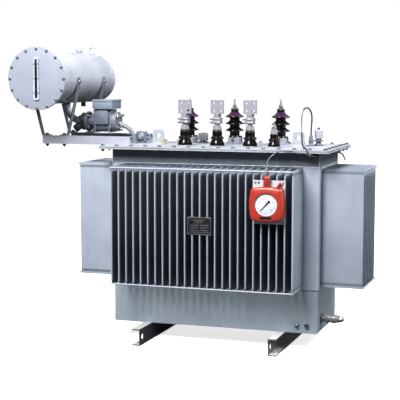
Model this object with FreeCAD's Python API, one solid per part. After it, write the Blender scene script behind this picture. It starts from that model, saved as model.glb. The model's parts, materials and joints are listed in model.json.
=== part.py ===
"""Oil-filled distribution transformer with corrugated cooling walls and a conservator.

Frame: X runs along the tank's long side, Y from the low-voltage side to the
high-voltage side, and Z up. The origin is the centre of the four foundation
bolt holes, on the ground. Lengths are in millimetres, and each sub-part is
written to parts/NAME.step.
"""

import FreeCAD
import Part
import math
import os

V = FreeCAD.Vector
X_AXIS, Y_AXIS, Z_AXIS = V(1, 0, 0), V(0, 1, 0), V(0, 0, 1)
FIT = 0.3  # clearance between curved faces that seat on each other

# Skids: rolled channels that run front to back, webs inwards.
SKID_GAUGE = 820.0
SKID_LENGTH = 882.0
SKID_HEIGHT = 100.0
SKID_FLANGE = 48.0
SKID_WEB_THICK = 5.3
SKID_FLANGE_THICK = 8.5
FOUNDATION_PITCH = 780.0
FOUNDATION_HOLE = 18.0
TOWING_HOLE = 36.0
TOWING_PITCH = 790.0

# Lower tank: a plain welded box under the corrugated walls.
TANK_LENGTH = 1244.0
TANK_DEPTH = 477.0
LOWER_HEIGHT = 254.0
LOWER_PLATE = 5.0
FLOOR_PLATE = 8.0

# Corrugated walls: hollow folded fins on a flat panel.
PANEL_HEIGHT = 704.0
PANEL_PLATE = 8.0
PANEL_PROUD = 6.0
FIN_SHEET = 1.5
FIN_WIDTH = 9.0
FIN_PITCH = 45.0
LONG_FIN_MARGIN = 60.0
LONG_FIN_DEPTH = 222.0
LONG_FIN_SHIFT = -10.0
LONG_FIN_FOOT = 6.0
LONG_FIN_HEAD = 6.0
SHORT_FIN_MARGIN = 30.0
SHORT_FIN_DEPTH = 243.0
SHORT_FIN_FOOT = 11.0
SHORT_FIN_HEAD = 10.0
TIE_BAR = 10.0
TIE_BAR_INSET = 7.0

# Collar, flange and cover.
COLLAR_HEIGHT = 82.0
COLLAR_PLATE = 5.0
COVER_END_OVERHANG = 66.0
COVER_SIDE_OVERHANG = 69.5
FLANGE_THICK = 8.0
GASKET_THICK = 2.0
GASKET_INSET = 6.0
COVER_THICK = 8.0
COVER_CORNER = 10.0

# Core and windings inside the tank, as plain solids of their outer shape.
CORE_YOKE = 160.0
CORE_FEET = 30.0
WINDING_END_GAP = 75.0
WINDING_SIDE_GAP = 61.5
CORE_HEADROOM = 152.0

# Conservator: a drum across the left end of the cover. Places along X are from that end.
DRUM_OUT = 334.0
DRUM_RISE = 397.0
DRUM_RADIUS = 154.0
DRUM_WALL = 4.0
DRUM_FRONT = -432.0
DRUM_BACK = 395.0
DRUM_RIM_RADIUS = 185.5
DRUM_RIM_THICK = 10.0
DRUM_COVER_THICK = 8.0
DRUM_END_THICK = 5.0
DRUM_END_RECESS = 7.0
GAUGE_WIDTH = 34.0
GAUGE_HEIGHT = 254.0
GAUGE_THICK = 9.0
GAUGE_SLOT_WIDTH = 16.0
GAUGE_SLOT_HEIGHT = 228.0
GAUGE_SLOT_DEPTH = 6.0
GAUGE_CORNER = 12.0
FILLER_Y = 170.0
FILLER_RADIUS = 20.0
FILLER_HEIGHT = 22.0
FILLER_NECK_RADIUS = 16.0
FILLER_NECK_HEIGHT = 8.8
EYE_Y = 384.0
EYE_RADIUS = 33.0
EYE_LEG = 11.0
EYE_ROD = 10.0
SUMP_Y = 225.0
SUMP_RADIUS = 15.0
SUMP_HEIGHT = 32.0

# Rails and arms that carry the conservator.
RAIL_GAUGE = 380.0
RAIL_OUT = 414.0
RAIL_LAP = 160.0
RAIL_HEIGHT = 50.0
RAIL_FLANGE = 38.0
RAIL_THICK = 5.0
ARM_WIDTH = 34.0
ARM_THICK = 6.0
ARM_FOOT_SPREAD = 80.0
ARM_FOOT_LENGTH = 46.0
ARM_PAD = 50.0
ARM_PAD_DROP = 20.0

# Gas relay and its pipes, on one line between the drum and the cover.
PIPE_Y = -15.0
RELAY_RISE = 131.0
UPPER_PIPE = 42.4
UPPER_PIPE_WALL = 3.2
UPPER_PIPE_BEND = 106.0
UPPER_PIPE_STUB = 2.0
LOWER_PIPE = 26.9
LOWER_PIPE_WALL = 2.6
LOWER_PIPE_BEND = 100.0
LOWER_PIPE_REACH = 119.0
LOWER_PIPE_SLOPE = 25.0
RELAY_OUT = 196.0
RELAY_LENGTH = 190.0
RELAY_BODY_SHIFT = 20.0
RELAY_FLANGE_RADIUS = 62.0
RELAY_FLANGE_THICK = 16.0
FLANGE_STEP = 3.0
RELAY_NECK_RADIUS = 32.0
RELAY_BODY_LENGTH = 118.0
RELAY_BODY_DEPTH = 92.0
RELAY_BODY_UP = 79.0
RELAY_BODY_DOWN = 58.0
RELAY_BODY_ROUND = 38.0
SIGHT_BOX_WIDTH = 88.0
SIGHT_BOX_HEIGHT = 94.0
SIGHT_BOX_DEPTH = 18.0
TERMINAL_BOX_LENGTH = 136.0
TERMINAL_BOX_SHIFT = 12.0
TERMINAL_BOX_DEPTH = 160.0
TERMINAL_BOX_HEIGHT = 58.0
TERMINAL_BOX_CORNER = 6.0
SIGHT_BOX_CORNER = 5.0
VALVE_CHAMFER = 3.0
VALVE_LENGTH = 36.0
VALVE_RADIUS = 54.0
COCK_OFFSET = 25.0
COCK_DROP = 34.0
COCK_RADIUS = 10.0
COCK_REACH = 27.0
COCK_HEIGHT = 40.0
COCK_STUB_RADIUS = 7.0
LEVER_LENGTH = 47.0
LEVER_RISE = 42.0
LEVER_THICK = 8.0
LEVER_HEIGHT = 14.0
KNOB_RADIUS = 23.0
KNOB_LENGTH = 42.0
KNOB_STEM = 14.0
KNOB_OFFSET = (-43.0, -25.0, -37.0)
PIPE_FOOT_RADIUS = 19.0
PIPE_FOOT_THICK = 8.0

# High-voltage bushings along the back, low-voltage ones along the front.
HV_Y = 170.0
HV_MIDDLE = 4.0
HV_PITCH = 290.0
HV_SEAT = 38.0
HV_HEIGHT = 207.0
HV_CORE = 30.0
HV_FOOT = 34.0
HV_NECK = 23.0
HV_NECK_HEIGHT = 16.0
HV_SHED = 56.0
HV_SHED_LEVELS = (42.0, 83.5, 126.0)
HV_SHED_SLOPE = 20.0
TURRET_RADIUS = 40.0
TURRET_FLANGE_RADIUS = 50.0
TURRET_FLANGE_THICK = 8.0
CLAW_WIDTH = 16.0
CLAW_INNER = 32.0
CLAW_OUTER = 48.0
CLAW_LAP = 10.0
CLAW_TURNS = (30, 150, 270)
HV_CAP_RADIUS = 22.0
HV_CAP_HEIGHT = 8.0
HV_NUT = 22.0
HV_NUT_HEIGHT = 9.0
HV_WASHER_RADIUS = 14.0
HV_WASHER_THICK = 4.0
HV_STUD = 12.0
HV_STUD_LENGTH = 64.0
LV_Y = -160.0
LV_SEAT = 7.0
LV_FIRST = -203.0
LV_PITCH = 200.0
NEUTRAL_X = 341.0
SEAT_LIP = 3.0
LV_BELL = 43.0
LV_BELL_HEIGHT = 40.0
LV_SHED = 40.0
LV_CORE = 29.0
LV_HEIGHT = 85.0
LV_CAP_RADIUS = 26.0
LV_CAP_HEIGHT = 14.0
LV_NUT = 44.0
LV_NUT_HEIGHT = 18.0
LV_STEM_RADIUS = 14.0
LV_CLAMP = (52.0, 40.0, 34.0)
LV_CLAMP_RISE = 60.0
LV_NECK_WIDTH = 44.0
LV_FLAG = 80.0
LV_FLAG_THICK = 10.0
LV_FLAG_RISE = 100.0
LV_PALM_PITCH = 44.0
LV_PALM_HOLE = 14.0
NEUTRAL_BELL = 36.0
NEUTRAL_BELL_HEIGHT = 33.0
NEUTRAL_SHED = 33.0
NEUTRAL_CORE = 24.0
NEUTRAL_HEIGHT = 73.0
NEUTRAL_CAP_RADIUS = 20.0
NEUTRAL_NUT = 36.0
NEUTRAL_NUT_HEIGHT = 12.0
NEUTRAL_WASHER_RADIUS = 15.0
NEUTRAL_WASHER_THICK = 4.0
NEUTRAL_STUD = 12.0
NEUTRAL_STUD_LENGTH = 62.0

# Other fittings on the cover.
TAP_X = -190.0
TAP_Y = 140.0
TAP_RADIUS = 33.0
TAP_HEIGHT = 64.0
TAP_FOOT_THICK = 8.0
TAP_STEM_RADIUS = 19.8
TAP_STEM_HEIGHT = 16.0
TAP_RIB = 6.0
TAP_RIB_PROUD = 3.0
TAP_RIBS = 12
LUG_SPACING = 876.0
LUG_MIDDLE = 8.0
LUG_WIDTH = 70.0
LUG_HEIGHT = 86.0
LUG_THICK = 14.0
LUG_HOLE = 30.0
LUG_HOLE_RISE = 50.0
LUG_ROUND = 21.0
LUG_PAD = 6.0
LUG_PAD_EDGE = 4.0
LUG_PAD_DEPTH = 50.0
RELIEF_IN = 150.0
RELIEF_Y = 100.0
RELIEF_LEVELS = (  # radius, lower and upper height of each round part
    (26.0, 0.0, 6.0), (20.0, 6.0, 18.0), (14.0, 18.0, 28.0), (28.0, 26.0, 34.0),
    (12.0, 34.0, 40.0), (19.0, 38.0, 96.0), (7.0, 96.0, 104.0), (9.0, 102.0, 108.0),
)
POCKET_X = 512.0
POCKET_Y = 40.0
POCKET_RADIUS = 12.0
POCKET_HEIGHT = 66.0
POCKET_FLANGE_RADIUS = 21.0
POCKET_FLANGE_THICK = 8.0
POCKET_NUT = 30.0
POCKET_NUT_RISE = 22.0
POCKET_NUT_HEIGHT = 18.0
FILL_VALVE_IN = 137.0
FILL_VALVE_Y = 50.0
FILL_VALVE_SIZE = 66.0
FILL_VALVE_THICK = 32.0
FILL_VALVE_CORNER = 14.0
FILL_VALVE_RISE = 8.0
FILL_CAP_RADIUS = 18.0
FILL_CAP_PROUD = 20.0
FILL_FOOT_LENGTH = 48.0
FILL_NECK = 24.0
FILL_NECK_REACH = 32.0
FILL_NECK_HEIGHT = 60.0

# Thermometer, nameplate, drain and earth fittings.
CASE_X = 392.0
CASE_Z = 867.0
CASE_SIZE = 196.0
CASE_DEPTH = 54.0
CASE_CORNER = 34.0
CASE_RIM = 8.0
DIAL_RADIUS = 64.0
DIAL_DEPTH = 12.0
NECK_RADIUS = 17.0
NECK_LENGTH = 62.0
NECK_SHIFT = -4.0
NECK_LAP = 4.0
BRACKET_X = 397.0
BRACKET_Z = 876.0
BRACKET_WIDTH = 186.0
BRACKET_HEIGHT = 244.0
BRACKET_THICK = 4.0
PLATE_CORNER = 4.0
PLATE_X = -11.0
PLATE_Z = 727.0
PLATE_WIDTH = 144.0
PLATE_HEIGHT = 104.0
PLATE_THICK = 3.0
DRAIN_Y = -130.0
DRAIN_Z = 173.0
DRAIN_REACH = 134.0
DRAIN_CAP = 34.0
DRAIN_LEVELS = (  # radius, inner and outer end of each round part
    (28.0, 0.0, 10.0), (18.0, 10.0, 32.0), (27.0, 32.0, 38.0), (25.0, 38.0, 92.0), (21.0, 92.0, 108.0),
)
EARTH_X = 505.0
EARTH_Z = 146.0
EARTH_SPACING = 58.0
EARTH_BOSS = 14.0
EARTH_THREAD = 12.0
EARTH_THICK = 12.0

# Cords: control points of the two thermometer lines, chosen by hand.
CORD = 7.0
CLIP_X = 607.0
CLIP_Z = 1114.0
CLIP_WIDTH = 46.0
CLIP_HEIGHT = 22.0
CLIP_DEPTH = 16.0
CASE_LINE = [
    (388, -507, 1027), (388, -505, 1051), (384, -484, 1076), (378, -445, 1096),
    (377, -402, 1114), (386, -362, 1131), (406, -338, 1146), (436, -329, 1154),
    (471, -327, 1156), (506, -328, 1153), (540, -330, 1147), (570, -329, 1139),
    (594, -318, 1130), (612, -297, 1122), (618, -276, 1117), (619, -260.5, 1114),
]
BULB_LINE = [
    (512, 40, 1224), (512, 40, 1258), (515, 41, 1294), (517, 38, 1334),
    (511, 27, 1369), (497, 7, 1387), (482, -16, 1381), (474, -30, 1351),
    (472, -34, 1313), (474, -38, 1273), (478, -52, 1230), (487, -84, 1194),
    (503, -132, 1172), (524, -190, 1164), (545, -250, 1166), (560, -298, 1170),
    (573, -328, 1160), (582, -338, 1136), (590, -324, 1117), (594, -298, 1112),
    (596, -278, 1113), (597, -260.5, 1114),
]

# Levels and faces that follow from the sizes above.
LOWER_TOP = SKID_HEIGHT + LOWER_HEIGHT
PANEL_TOP = LOWER_TOP + PANEL_HEIGHT
COLLAR_TOP = PANEL_TOP + COLLAR_HEIGHT
COVER_BASE = COLLAR_TOP + FLANGE_THICK + GASKET_THICK
COVER_TOP = COVER_BASE + COVER_THICK
PANEL_X = TANK_LENGTH / 2 + PANEL_PROUD
PANEL_Y = TANK_DEPTH / 2 + PANEL_PROUD
SHORT_WALL = 2 * (PANEL_Y - PANEL_PLATE)
LONG_FINS = int((2 * PANEL_X - 2 * LONG_FIN_MARGIN) / FIN_PITCH)
SHORT_FINS = int((SHORT_WALL - 2 * SHORT_FIN_MARGIN) / FIN_PITCH)
LONG_FIN_HEIGHT = PANEL_HEIGHT - LONG_FIN_FOOT - LONG_FIN_HEAD
SHORT_FIN_HEIGHT = PANEL_HEIGHT - SHORT_FIN_FOOT - SHORT_FIN_HEAD
FIN_FACE = -PANEL_Y - LONG_FIN_DEPTH
COVER_LENGTH = 2 * (PANEL_X + COVER_END_OVERHANG)
COVER_DEPTH = 2 * (PANEL_Y + COVER_SIDE_OVERHANG)
TANK_FLOOR = SKID_HEIGHT + FLOOR_PLATE
WINDING_RADIUS = TANK_DEPTH / 2 - LOWER_PLATE - WINDING_SIDE_GAP
WINDING_HEIGHT = COVER_BASE - TANK_FLOOR - CORE_FEET - 2 * CORE_YOKE - CORE_HEADROOM
LIMB_PITCH = TANK_LENGTH / 2 - LOWER_PLATE - WINDING_END_GAP - WINDING_RADIUS
DRUM_X = -COVER_LENGTH / 2 - DRUM_OUT
DRUM_Z = COVER_TOP + DRUM_RISE
RAIL_LEFT = -COVER_LENGTH / 2 - RAIL_OUT
RAIL_RIGHT = -COVER_LENGTH / 2 + RAIL_LAP
RAIL_TOP = COVER_TOP + RAIL_HEIGHT
RELAY_LEFT = -COVER_LENGTH / 2 - RELAY_OUT
RELAY_RIGHT = RELAY_LEFT + RELAY_LENGTH
RELAY_Z = COVER_TOP + RELAY_RISE
UPPER_BEND = min(UPPER_PIPE_BEND, DRUM_RISE - DRUM_RADIUS - RELAY_RISE - UPPER_PIPE_STUB)
FILL_VALVE_X = -COVER_LENGTH / 2 + FILL_VALVE_IN
RELIEF_X = COVER_LENGTH / 2 - RELIEF_IN


def save(name, *solids):
    """Write one sub-part, which may be several solids that do not touch."""
    shape = solids[0] if len(solids) == 1 else Part.makeCompound(list(solids))
    shape.exportStep(os.path.join("parts", name + ".step"))
    print(name, len(shape.Solids), round(shape.Volume / 1e3), "cm3", "valid", shape.isValid())


def block(x0, x1, y0, y1, z0, z1):
    """A box between two corners."""
    return Part.makeBox(x1 - x0, y1 - y0, z1 - z0, V(x0, y0, z0))


def block_at(centre, size):
    """A box of the given size around a centre."""
    return Part.makeBox(*size, V(*centre) - V(*size) / 2)


def rod(radius, length, start, axis=Z_AXIS):
    """A round bar from a start point along an axis."""
    return Part.makeCylinder(radius, length, V(*start), axis)


def ring(outer, inner, length, start, axis=Z_AXIS):
    """A round tube or washer."""
    return rod(outer, length, start, axis).cut(rod(inner, length, start, axis))


def frame_ring(length, depth, width, z, height):
    """A rectangular frame lying flat, its bars as wide as given."""
    outer = block(-length / 2, length / 2, -depth / 2, depth / 2, z, z + height)
    x, y = length / 2 - width, depth / 2 - width
    return outer.cut(block(-x, x, -y, y, z, z + height))


def fuse(first, *others):
    """One solid from solids that meet, without the seams between them."""
    return first.fuse(list(others)).removeSplitter()


def revolve(profile, centre):
    """A turned solid about a vertical axis, from (radius, height) points."""
    points = [V(r, 0, z) for r, z in profile]
    face = Part.Face(Part.makePolygon(points + [points[0]]))
    solid = face.revolve(V(), Z_AXIS, 360)
    solid.translate(V(*centre))
    return solid


def round_edges(solid, radius, direction):
    """Fillet the straight edges that run along a direction."""
    edges = [e for e in solid.Edges if len(e.Vertexes) == 2 and e.Curve.TypeId == "Part::GeomLine"
             and abs(e.tangentAt(e.FirstParameter).dot(direction)) > 0.999]
    return solid.makeFillet(radius, edges)


def bent_bar(points, thick, width, y):
    """A flat bar bent along (x, z) points that lie on its inner face."""
    outline = offset_outline([V(x, 0, z) for x, z in points], thick)
    bar = Part.Face(Part.makePolygon(outline)).extrude(V(0, width, 0))
    bar.translate(V(0, y - width / 2, 0))
    return bar


def offset_outline(points, thick):
    """Close a polyline in XZ into an outline whose second side is thick away, on its left."""
    normals = []
    for a, b in zip(points, points[1:]):
        along = (b - a).normalize()
        normals.append(V(-along.z, 0, along.x))
    outer = [points[0] + normals[0] * thick]
    for i in range(1, len(points) - 1):
        both = (normals[i - 1] + normals[i]).normalize()
        outer.append(points[i] + both * (thick / both.dot(normals[i])))
    outer.append(points[-1] + normals[-1] * thick)
    return points + outer[::-1] + [points[0]]


def rounded_route(points, radius=None):
    """Straight runs joined by tangent arcs, of one radius or each as large as its two runs allow."""
    corners = [V(*p) for p in points]
    edges, radii, at = [], [], corners[0]
    for before, corner, after in zip(corners, corners[1:], corners[2:]):
        back, on = before - corner, after - corner
        half_turn = (math.pi - back.getAngle(on)) / 2
        radii.append(radius or 0.45 * min(back.Length, on.Length) / math.tan(half_turn))
        reach = radii[-1] * math.tan(half_turn)
        back.normalize()
        on.normalize()
        start, end = corner + back * reach, corner + on * reach
        middle = corner + (back + on).normalize() * (radii[-1] / math.cos(half_turn) - radii[-1])
        edges.append(Part.LineSegment(at, start).toShape())
        edges.append(Part.Arc(start, middle, end).toShape())
        at = end
    edges.append(Part.LineSegment(at, corners[-1]).toShape())
    return Part.Wire(edges), radii


def swept(route, radius, points):
    """A round bar along a route whose first two points are given."""
    start, towards = V(*points[0]), V(*points[1]) - V(*points[0])
    section = Part.Wire(Part.makeCircle(radius, start, towards))
    return route.makePipeShell([section], True, False)


def cord(name, points):
    """A round cord along its route, checked against its section times its length."""
    wire, radii = rounded_route(points)
    tube = swept(wire, CORD / 2, points)
    expected = math.pi * CORD ** 2 / 4 * wire.Length
    print(name, "length", round(wire.Length), "volume ratio", round(tube.Volume / expected, 4),
          "tightest radius", round(min(radii), 1))
    save(name, tube)


def skid(side):
    """One channel, side -1 or +1, with towing holes in its web and bolt holes in its foot."""
    web = side * (SKID_GAUGE - SKID_FLANGE) / 2
    tip = side * (SKID_GAUGE + SKID_FLANGE) / 2
    x0, x1 = sorted((web, tip))
    y = SKID_LENGTH / 2
    channel = block(x0, x1, -y, y, 0, SKID_HEIGHT)
    h0, h1 = sorted((web + side * SKID_WEB_THICK, tip + side))
    channel = channel.cut(block(h0, h1, -y, y, SKID_FLANGE_THICK, SKID_HEIGHT - SKID_FLANGE_THICK))
    holes = []
    for end in (-1, 1):
        foot = (side * SKID_GAUGE / 2, end * FOUNDATION_PITCH / 2, -1)
        holes.append(rod(FOUNDATION_HOLE / 2, SKID_FLANGE_THICK + 2, foot))
        tow = (web - side, end * TOWING_PITCH / 2, SKID_HEIGHT / 2)
        holes.append(rod(TOWING_HOLE / 2, SKID_WEB_THICK + 2, tow, X_AXIS * side))
    return channel.cut(holes)


def lower_tank():
    """The plain ring of wall plates between the floor and the corrugated walls."""
    height = LOWER_HEIGHT - FLOOR_PLATE
    return frame_ring(TANK_LENGTH, TANK_DEPTH, LOWER_PLATE, TANK_FLOOR, height)


def fin_prism(width, depth, low, high):
    """A fin or its hollow: it points towards -Y and has a round tip."""
    half = width / 2
    root, tip = PANEL_PLATE, -depth + half
    edges = [
        Part.LineSegment(V(-half, root, low), V(-half, tip, low)).toShape(),
        Part.Arc(V(-half, tip, low), V(0, -depth, low), V(half, tip, low)).toShape(),
        Part.LineSegment(V(half, tip, low), V(half, root, low)).toShape(),
        Part.LineSegment(V(half, root, low), V(-half, root, low)).toShape(),
    ]
    return Part.Face(Part.Wire(edges)).extrude(V(0, 0, high - low))


def corrugated_wall(length, fins, depth, foot, height, shift):
    """A panel facing -Y with hollow fins. Its outer face is on y = 0, its foot on z = 0."""
    low, high = fin_span(length, fins, shift)
    panel = block(low, high, 0, PANEL_PLATE, 0, PANEL_HEIGHT)
    skin = fin_prism(FIN_WIDTH, depth, foot, foot + height)
    hollow = fin_prism(FIN_WIDTH - 2 * FIN_SHEET, depth - FIN_SHEET, foot + FIN_SHEET,
                       foot + height - FIN_SHEET)
    steps = [V(shift + (i - (fins - 1) / 2) * FIN_PITCH, 0, 0) for i in range(fins)]
    wall = panel.fuse([skin.translated(step) for step in steps])
    return wall.cut([hollow.translated(step) for step in steps])


def fin_span(length, fins, shift):
    """Ends of the folded sheet of a wall: one fin pitch past its outer fins, or the wall's end."""
    reach = fins * FIN_PITCH / 2
    return max(shift - reach, -length / 2), min(shift + reach, length / 2)


def end_strips(length, fins, shift):
    """The flat strips that close a wall from its folded sheet to its two ends."""
    low, high = fin_span(length, fins, shift)
    return [block(start, end, 0, PANEL_PLATE, 0, PANEL_HEIGHT)
            for start, end in ((-length / 2, low), (high, length / 2))]


def tie_bars(fins, depth, foot, height, shift):
    """Round bars welded across the fin tips of a wall, at its foot and its head."""
    length = (fins - 1) * FIN_PITCH + FIN_WIDTH
    y = -depth - TIE_BAR / 2 - FIT
    levels = (foot + TIE_BAR_INSET, foot + height - TIE_BAR_INSET)
    return [rod(TIE_BAR / 2, length, (shift - length / 2, y, z), X_AXIS) for z in levels]


def placed(shape, turn, x, y):
    """Turn a wall about Z and set it at its place on the lower tank."""
    moved = shape.copy()
    moved.rotate(V(), Z_AXIS, turn)
    moved.translate(V(x, y, LOWER_TOP))
    return moved


def cooling_walls():
    """The four corrugated walls, and the tie bars across all their fin tips."""
    long_fins = (LONG_FINS, LONG_FIN_DEPTH, LONG_FIN_FOOT, LONG_FIN_HEIGHT)
    short_fins = (SHORT_FINS, SHORT_FIN_DEPTH, SHORT_FIN_FOOT, SHORT_FIN_HEIGHT)
    sides = (
        ("front", 2 * PANEL_X, long_fins, LONG_FIN_SHIFT, 0, 0, -PANEL_Y),
        ("back", 2 * PANEL_X, long_fins, -LONG_FIN_SHIFT, 180, 0, PANEL_Y),
        ("left", SHORT_WALL, short_fins, 0, -90, -PANEL_X, 0),
        ("right", SHORT_WALL, short_fins, 0, 90, PANEL_X, 0),
    )
    bars, strips = [], []
    for name, length, fins, shift, turn, x, y in sides:
        save("corrugated_wall_" + name, placed(corrugated_wall(length, *fins, shift), turn, x, y))
        bars += [placed(bar, turn, x, y) for bar in tie_bars(*fins, shift)]
        strips += [placed(strip, turn, x, y) for strip in end_strips(length, fins[0], shift)]
    save("fin_tie_bars", *bars)
    save("wall_end_strips", *strips)


def core_and_windings():
    """The active part on its feet inside the tank: two yokes and three wound limbs."""
    base = TANK_FLOOR + CORE_FEET
    length = 2 * LIMB_PITCH + CORE_YOKE
    top = base + CORE_YOKE + WINDING_HEIGHT
    yokes = [block_at((0, 0, z + CORE_YOKE / 2), (length, CORE_YOKE, CORE_YOKE)) for z in (base, top)]
    windings = [rod(WINDING_RADIUS, WINDING_HEIGHT, (i * LIMB_PITCH, 0, base + CORE_YOKE))
                for i in (-1, 0, 1)]
    foot_z = TANK_FLOOR + CORE_FEET / 2
    feet = [block_at((side * LIMB_PITCH, 0, foot_z), (CORE_YOKE, 2 * WINDING_RADIUS, CORE_FEET))
            for side in (-1, 1)]
    return fuse(*yokes, *windings, *feet)


def cover_stack():
    """Collar, tank flange, gasket and bolted cover."""
    save("tank_collar", frame_ring(2 * PANEL_X, 2 * PANEL_Y, COLLAR_PLATE, PANEL_TOP, COLLAR_HEIGHT))
    edge = (COVER_DEPTH - 2 * PANEL_Y) / 2 + COLLAR_PLATE
    flange = frame_ring(COVER_LENGTH, COVER_DEPTH, edge, COLLAR_TOP, FLANGE_THICK)
    save("tank_flange", flange)
    gasket = frame_ring(COVER_LENGTH - 2 * GASKET_INSET, COVER_DEPTH - 2 * GASKET_INSET,
                        edge - GASKET_INSET, COLLAR_TOP + FLANGE_THICK, GASKET_THICK)
    save("cover_gasket", gasket)
    cover = block_at((0, 0, COVER_BASE + COVER_THICK / 2), (COVER_LENGTH, COVER_DEPTH, COVER_THICK))
    save("cover_plate", round_edges(cover, COVER_CORNER, Z_AXIS))


def conservator_shell():
    """The drum with its front rim, the lifting eye on top and the sump beneath, all welded."""
    long = DRUM_BACK - DRUM_FRONT
    start = (DRUM_X, DRUM_FRONT, DRUM_Z)
    solid = fuse(rod(DRUM_RADIUS, long, start, Y_AXIS),
                 rod(DRUM_RIM_RADIUS, DRUM_RIM_THICK, start, Y_AXIS),
                 lifting_eye(), sump())
    return solid.cut(rod(DRUM_RADIUS - DRUM_WALL, long, start, Y_AXIS))


def lifting_eye():
    """A bent round bar that stands on the drum as a half ring with two legs."""
    x, y, z = DRUM_X, EYE_Y, DRUM_Z + DRUM_RADIUS
    foot = DRUM_RADIUS - math.sqrt((DRUM_RADIUS - DRUM_WALL) ** 2 - EYE_RADIUS ** 2)
    legs = [rod(EYE_ROD / 2, EYE_LEG + foot, (x + s * EYE_RADIUS, y, z - foot)) for s in (-1, 1)]
    bow = Part.makeTorus(EYE_RADIUS, EYE_ROD / 2, V(x, y, z + EYE_LEG), Y_AXIS)
    wide = EYE_RADIUS + EYE_ROD
    upper = block(x - wide, x + wide, y - EYE_ROD, y + EYE_ROD, z + EYE_LEG, z + EYE_LEG + wide)
    return fuse(bow.common(upper), *legs)


def sump():
    """The short drain stub under the drum."""
    z = DRUM_Z - DRUM_RADIUS - SUMP_HEIGHT + DRUM_WALL
    return rod(SUMP_RADIUS, SUMP_HEIGHT + DRUM_WALL, (DRUM_X, SUMP_Y, z))


def conservator():
    """The drum, its two ends, its oil gauge and its filler cap."""
    save("conservator_shell", conservator_shell())
    front = DRUM_FRONT - DRUM_COVER_THICK
    save("conservator_front_cover",
         rod(DRUM_RIM_RADIUS, DRUM_COVER_THICK, (DRUM_X, front, DRUM_Z), Y_AXIS))
    end = (DRUM_X, DRUM_BACK - DRUM_END_RECESS - DRUM_END_THICK, DRUM_Z)
    save("conservator_rear_end", rod(DRUM_RADIUS - DRUM_WALL - FIT, DRUM_END_THICK, end, Y_AXIS))
    save("oil_level_gauge", oil_gauge(front))
    base = (DRUM_X, FILLER_Y, DRUM_Z + DRUM_RADIUS + FIT)
    cap = fuse(rod(FILLER_NECK_RADIUS, FILLER_NECK_HEIGHT, base),
               rod(FILLER_RADIUS, FILLER_HEIGHT - FILLER_NECK_HEIGHT, V(*base) + V(0, 0, FILLER_NECK_HEIGHT)))
    save("conservator_filler_cap", cap)


def oil_gauge(front):
    """The gauge frame on the drum's cover, with the slot that shows the oil."""
    body = block_at((DRUM_X, front - GAUGE_THICK / 2, DRUM_Z), (GAUGE_WIDTH, GAUGE_THICK, GAUGE_HEIGHT))
    body = round_edges(body, GAUGE_CORNER, Y_AXIS)
    rise = (GAUGE_SLOT_HEIGHT - GAUGE_SLOT_WIDTH) / 2
    deep = (DRUM_X, front - GAUGE_THICK, DRUM_Z)
    slot = [block_at((DRUM_X, front - GAUGE_THICK + GAUGE_SLOT_DEPTH / 2, DRUM_Z),
                     (GAUGE_SLOT_WIDTH, GAUGE_SLOT_DEPTH, 2 * rise))]
    slot += [rod(GAUGE_SLOT_WIDTH / 2, GAUGE_SLOT_DEPTH, V(*deep) + V(0, 0, s * rise), Y_AXIS)
             for s in (-1, 1)]
    return body.cut(slot)


def conservator_frame():
    """The two channel rails on the cover and the four arms that hold the drum."""
    for name, side in (("front", -1), ("rear", 1)):
        outer = side * (RAIL_GAUGE + RAIL_FLANGE) / 2
        inner = outer - side * RAIL_FLANGE
        y0, y1 = sorted((outer, inner))
        h0, h1 = sorted((outer - side * RAIL_THICK, inner - side))
        rail = block(RAIL_LEFT, RAIL_RIGHT, y0, y1, COVER_TOP, RAIL_TOP)
        hollow = block(RAIL_LEFT, RAIL_RIGHT, h0, h1, COVER_TOP + RAIL_THICK, RAIL_TOP - RAIL_THICK)
        save("conservator_rail_" + name, rail.cut(hollow))
    arms = [arm(side, end * RAIL_GAUGE / 2) for end in (-1, 1) for side in (-1, 1)]
    save("conservator_arms", *arms)


def arm(side, y):
    """A flat bar from a foot on the rail up to a pad on the drum's side."""
    reach = DRUM_RADIUS + FIT
    path = [
        (DRUM_X + side * (ARM_FOOT_SPREAD - ARM_FOOT_LENGTH), RAIL_TOP + ARM_THICK),
        (DRUM_X + side * ARM_FOOT_SPREAD, RAIL_TOP + ARM_THICK),
        (DRUM_X + side * reach, DRUM_Z - ARM_PAD_DROP - ARM_PAD / 2),
        (DRUM_X + side * reach, DRUM_Z - ARM_PAD_DROP + ARM_PAD / 2),
    ]
    return bent_bar(path, -side * ARM_THICK, ARM_WIDTH, y)


def bent_pipe(points, bend, outer, wall):
    """A pipe of straight runs with bends of one radius."""
    route = rounded_route(points, bend)[0]
    return swept(route, outer / 2, points).cut(swept(route, outer / 2 - wall, points))


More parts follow.
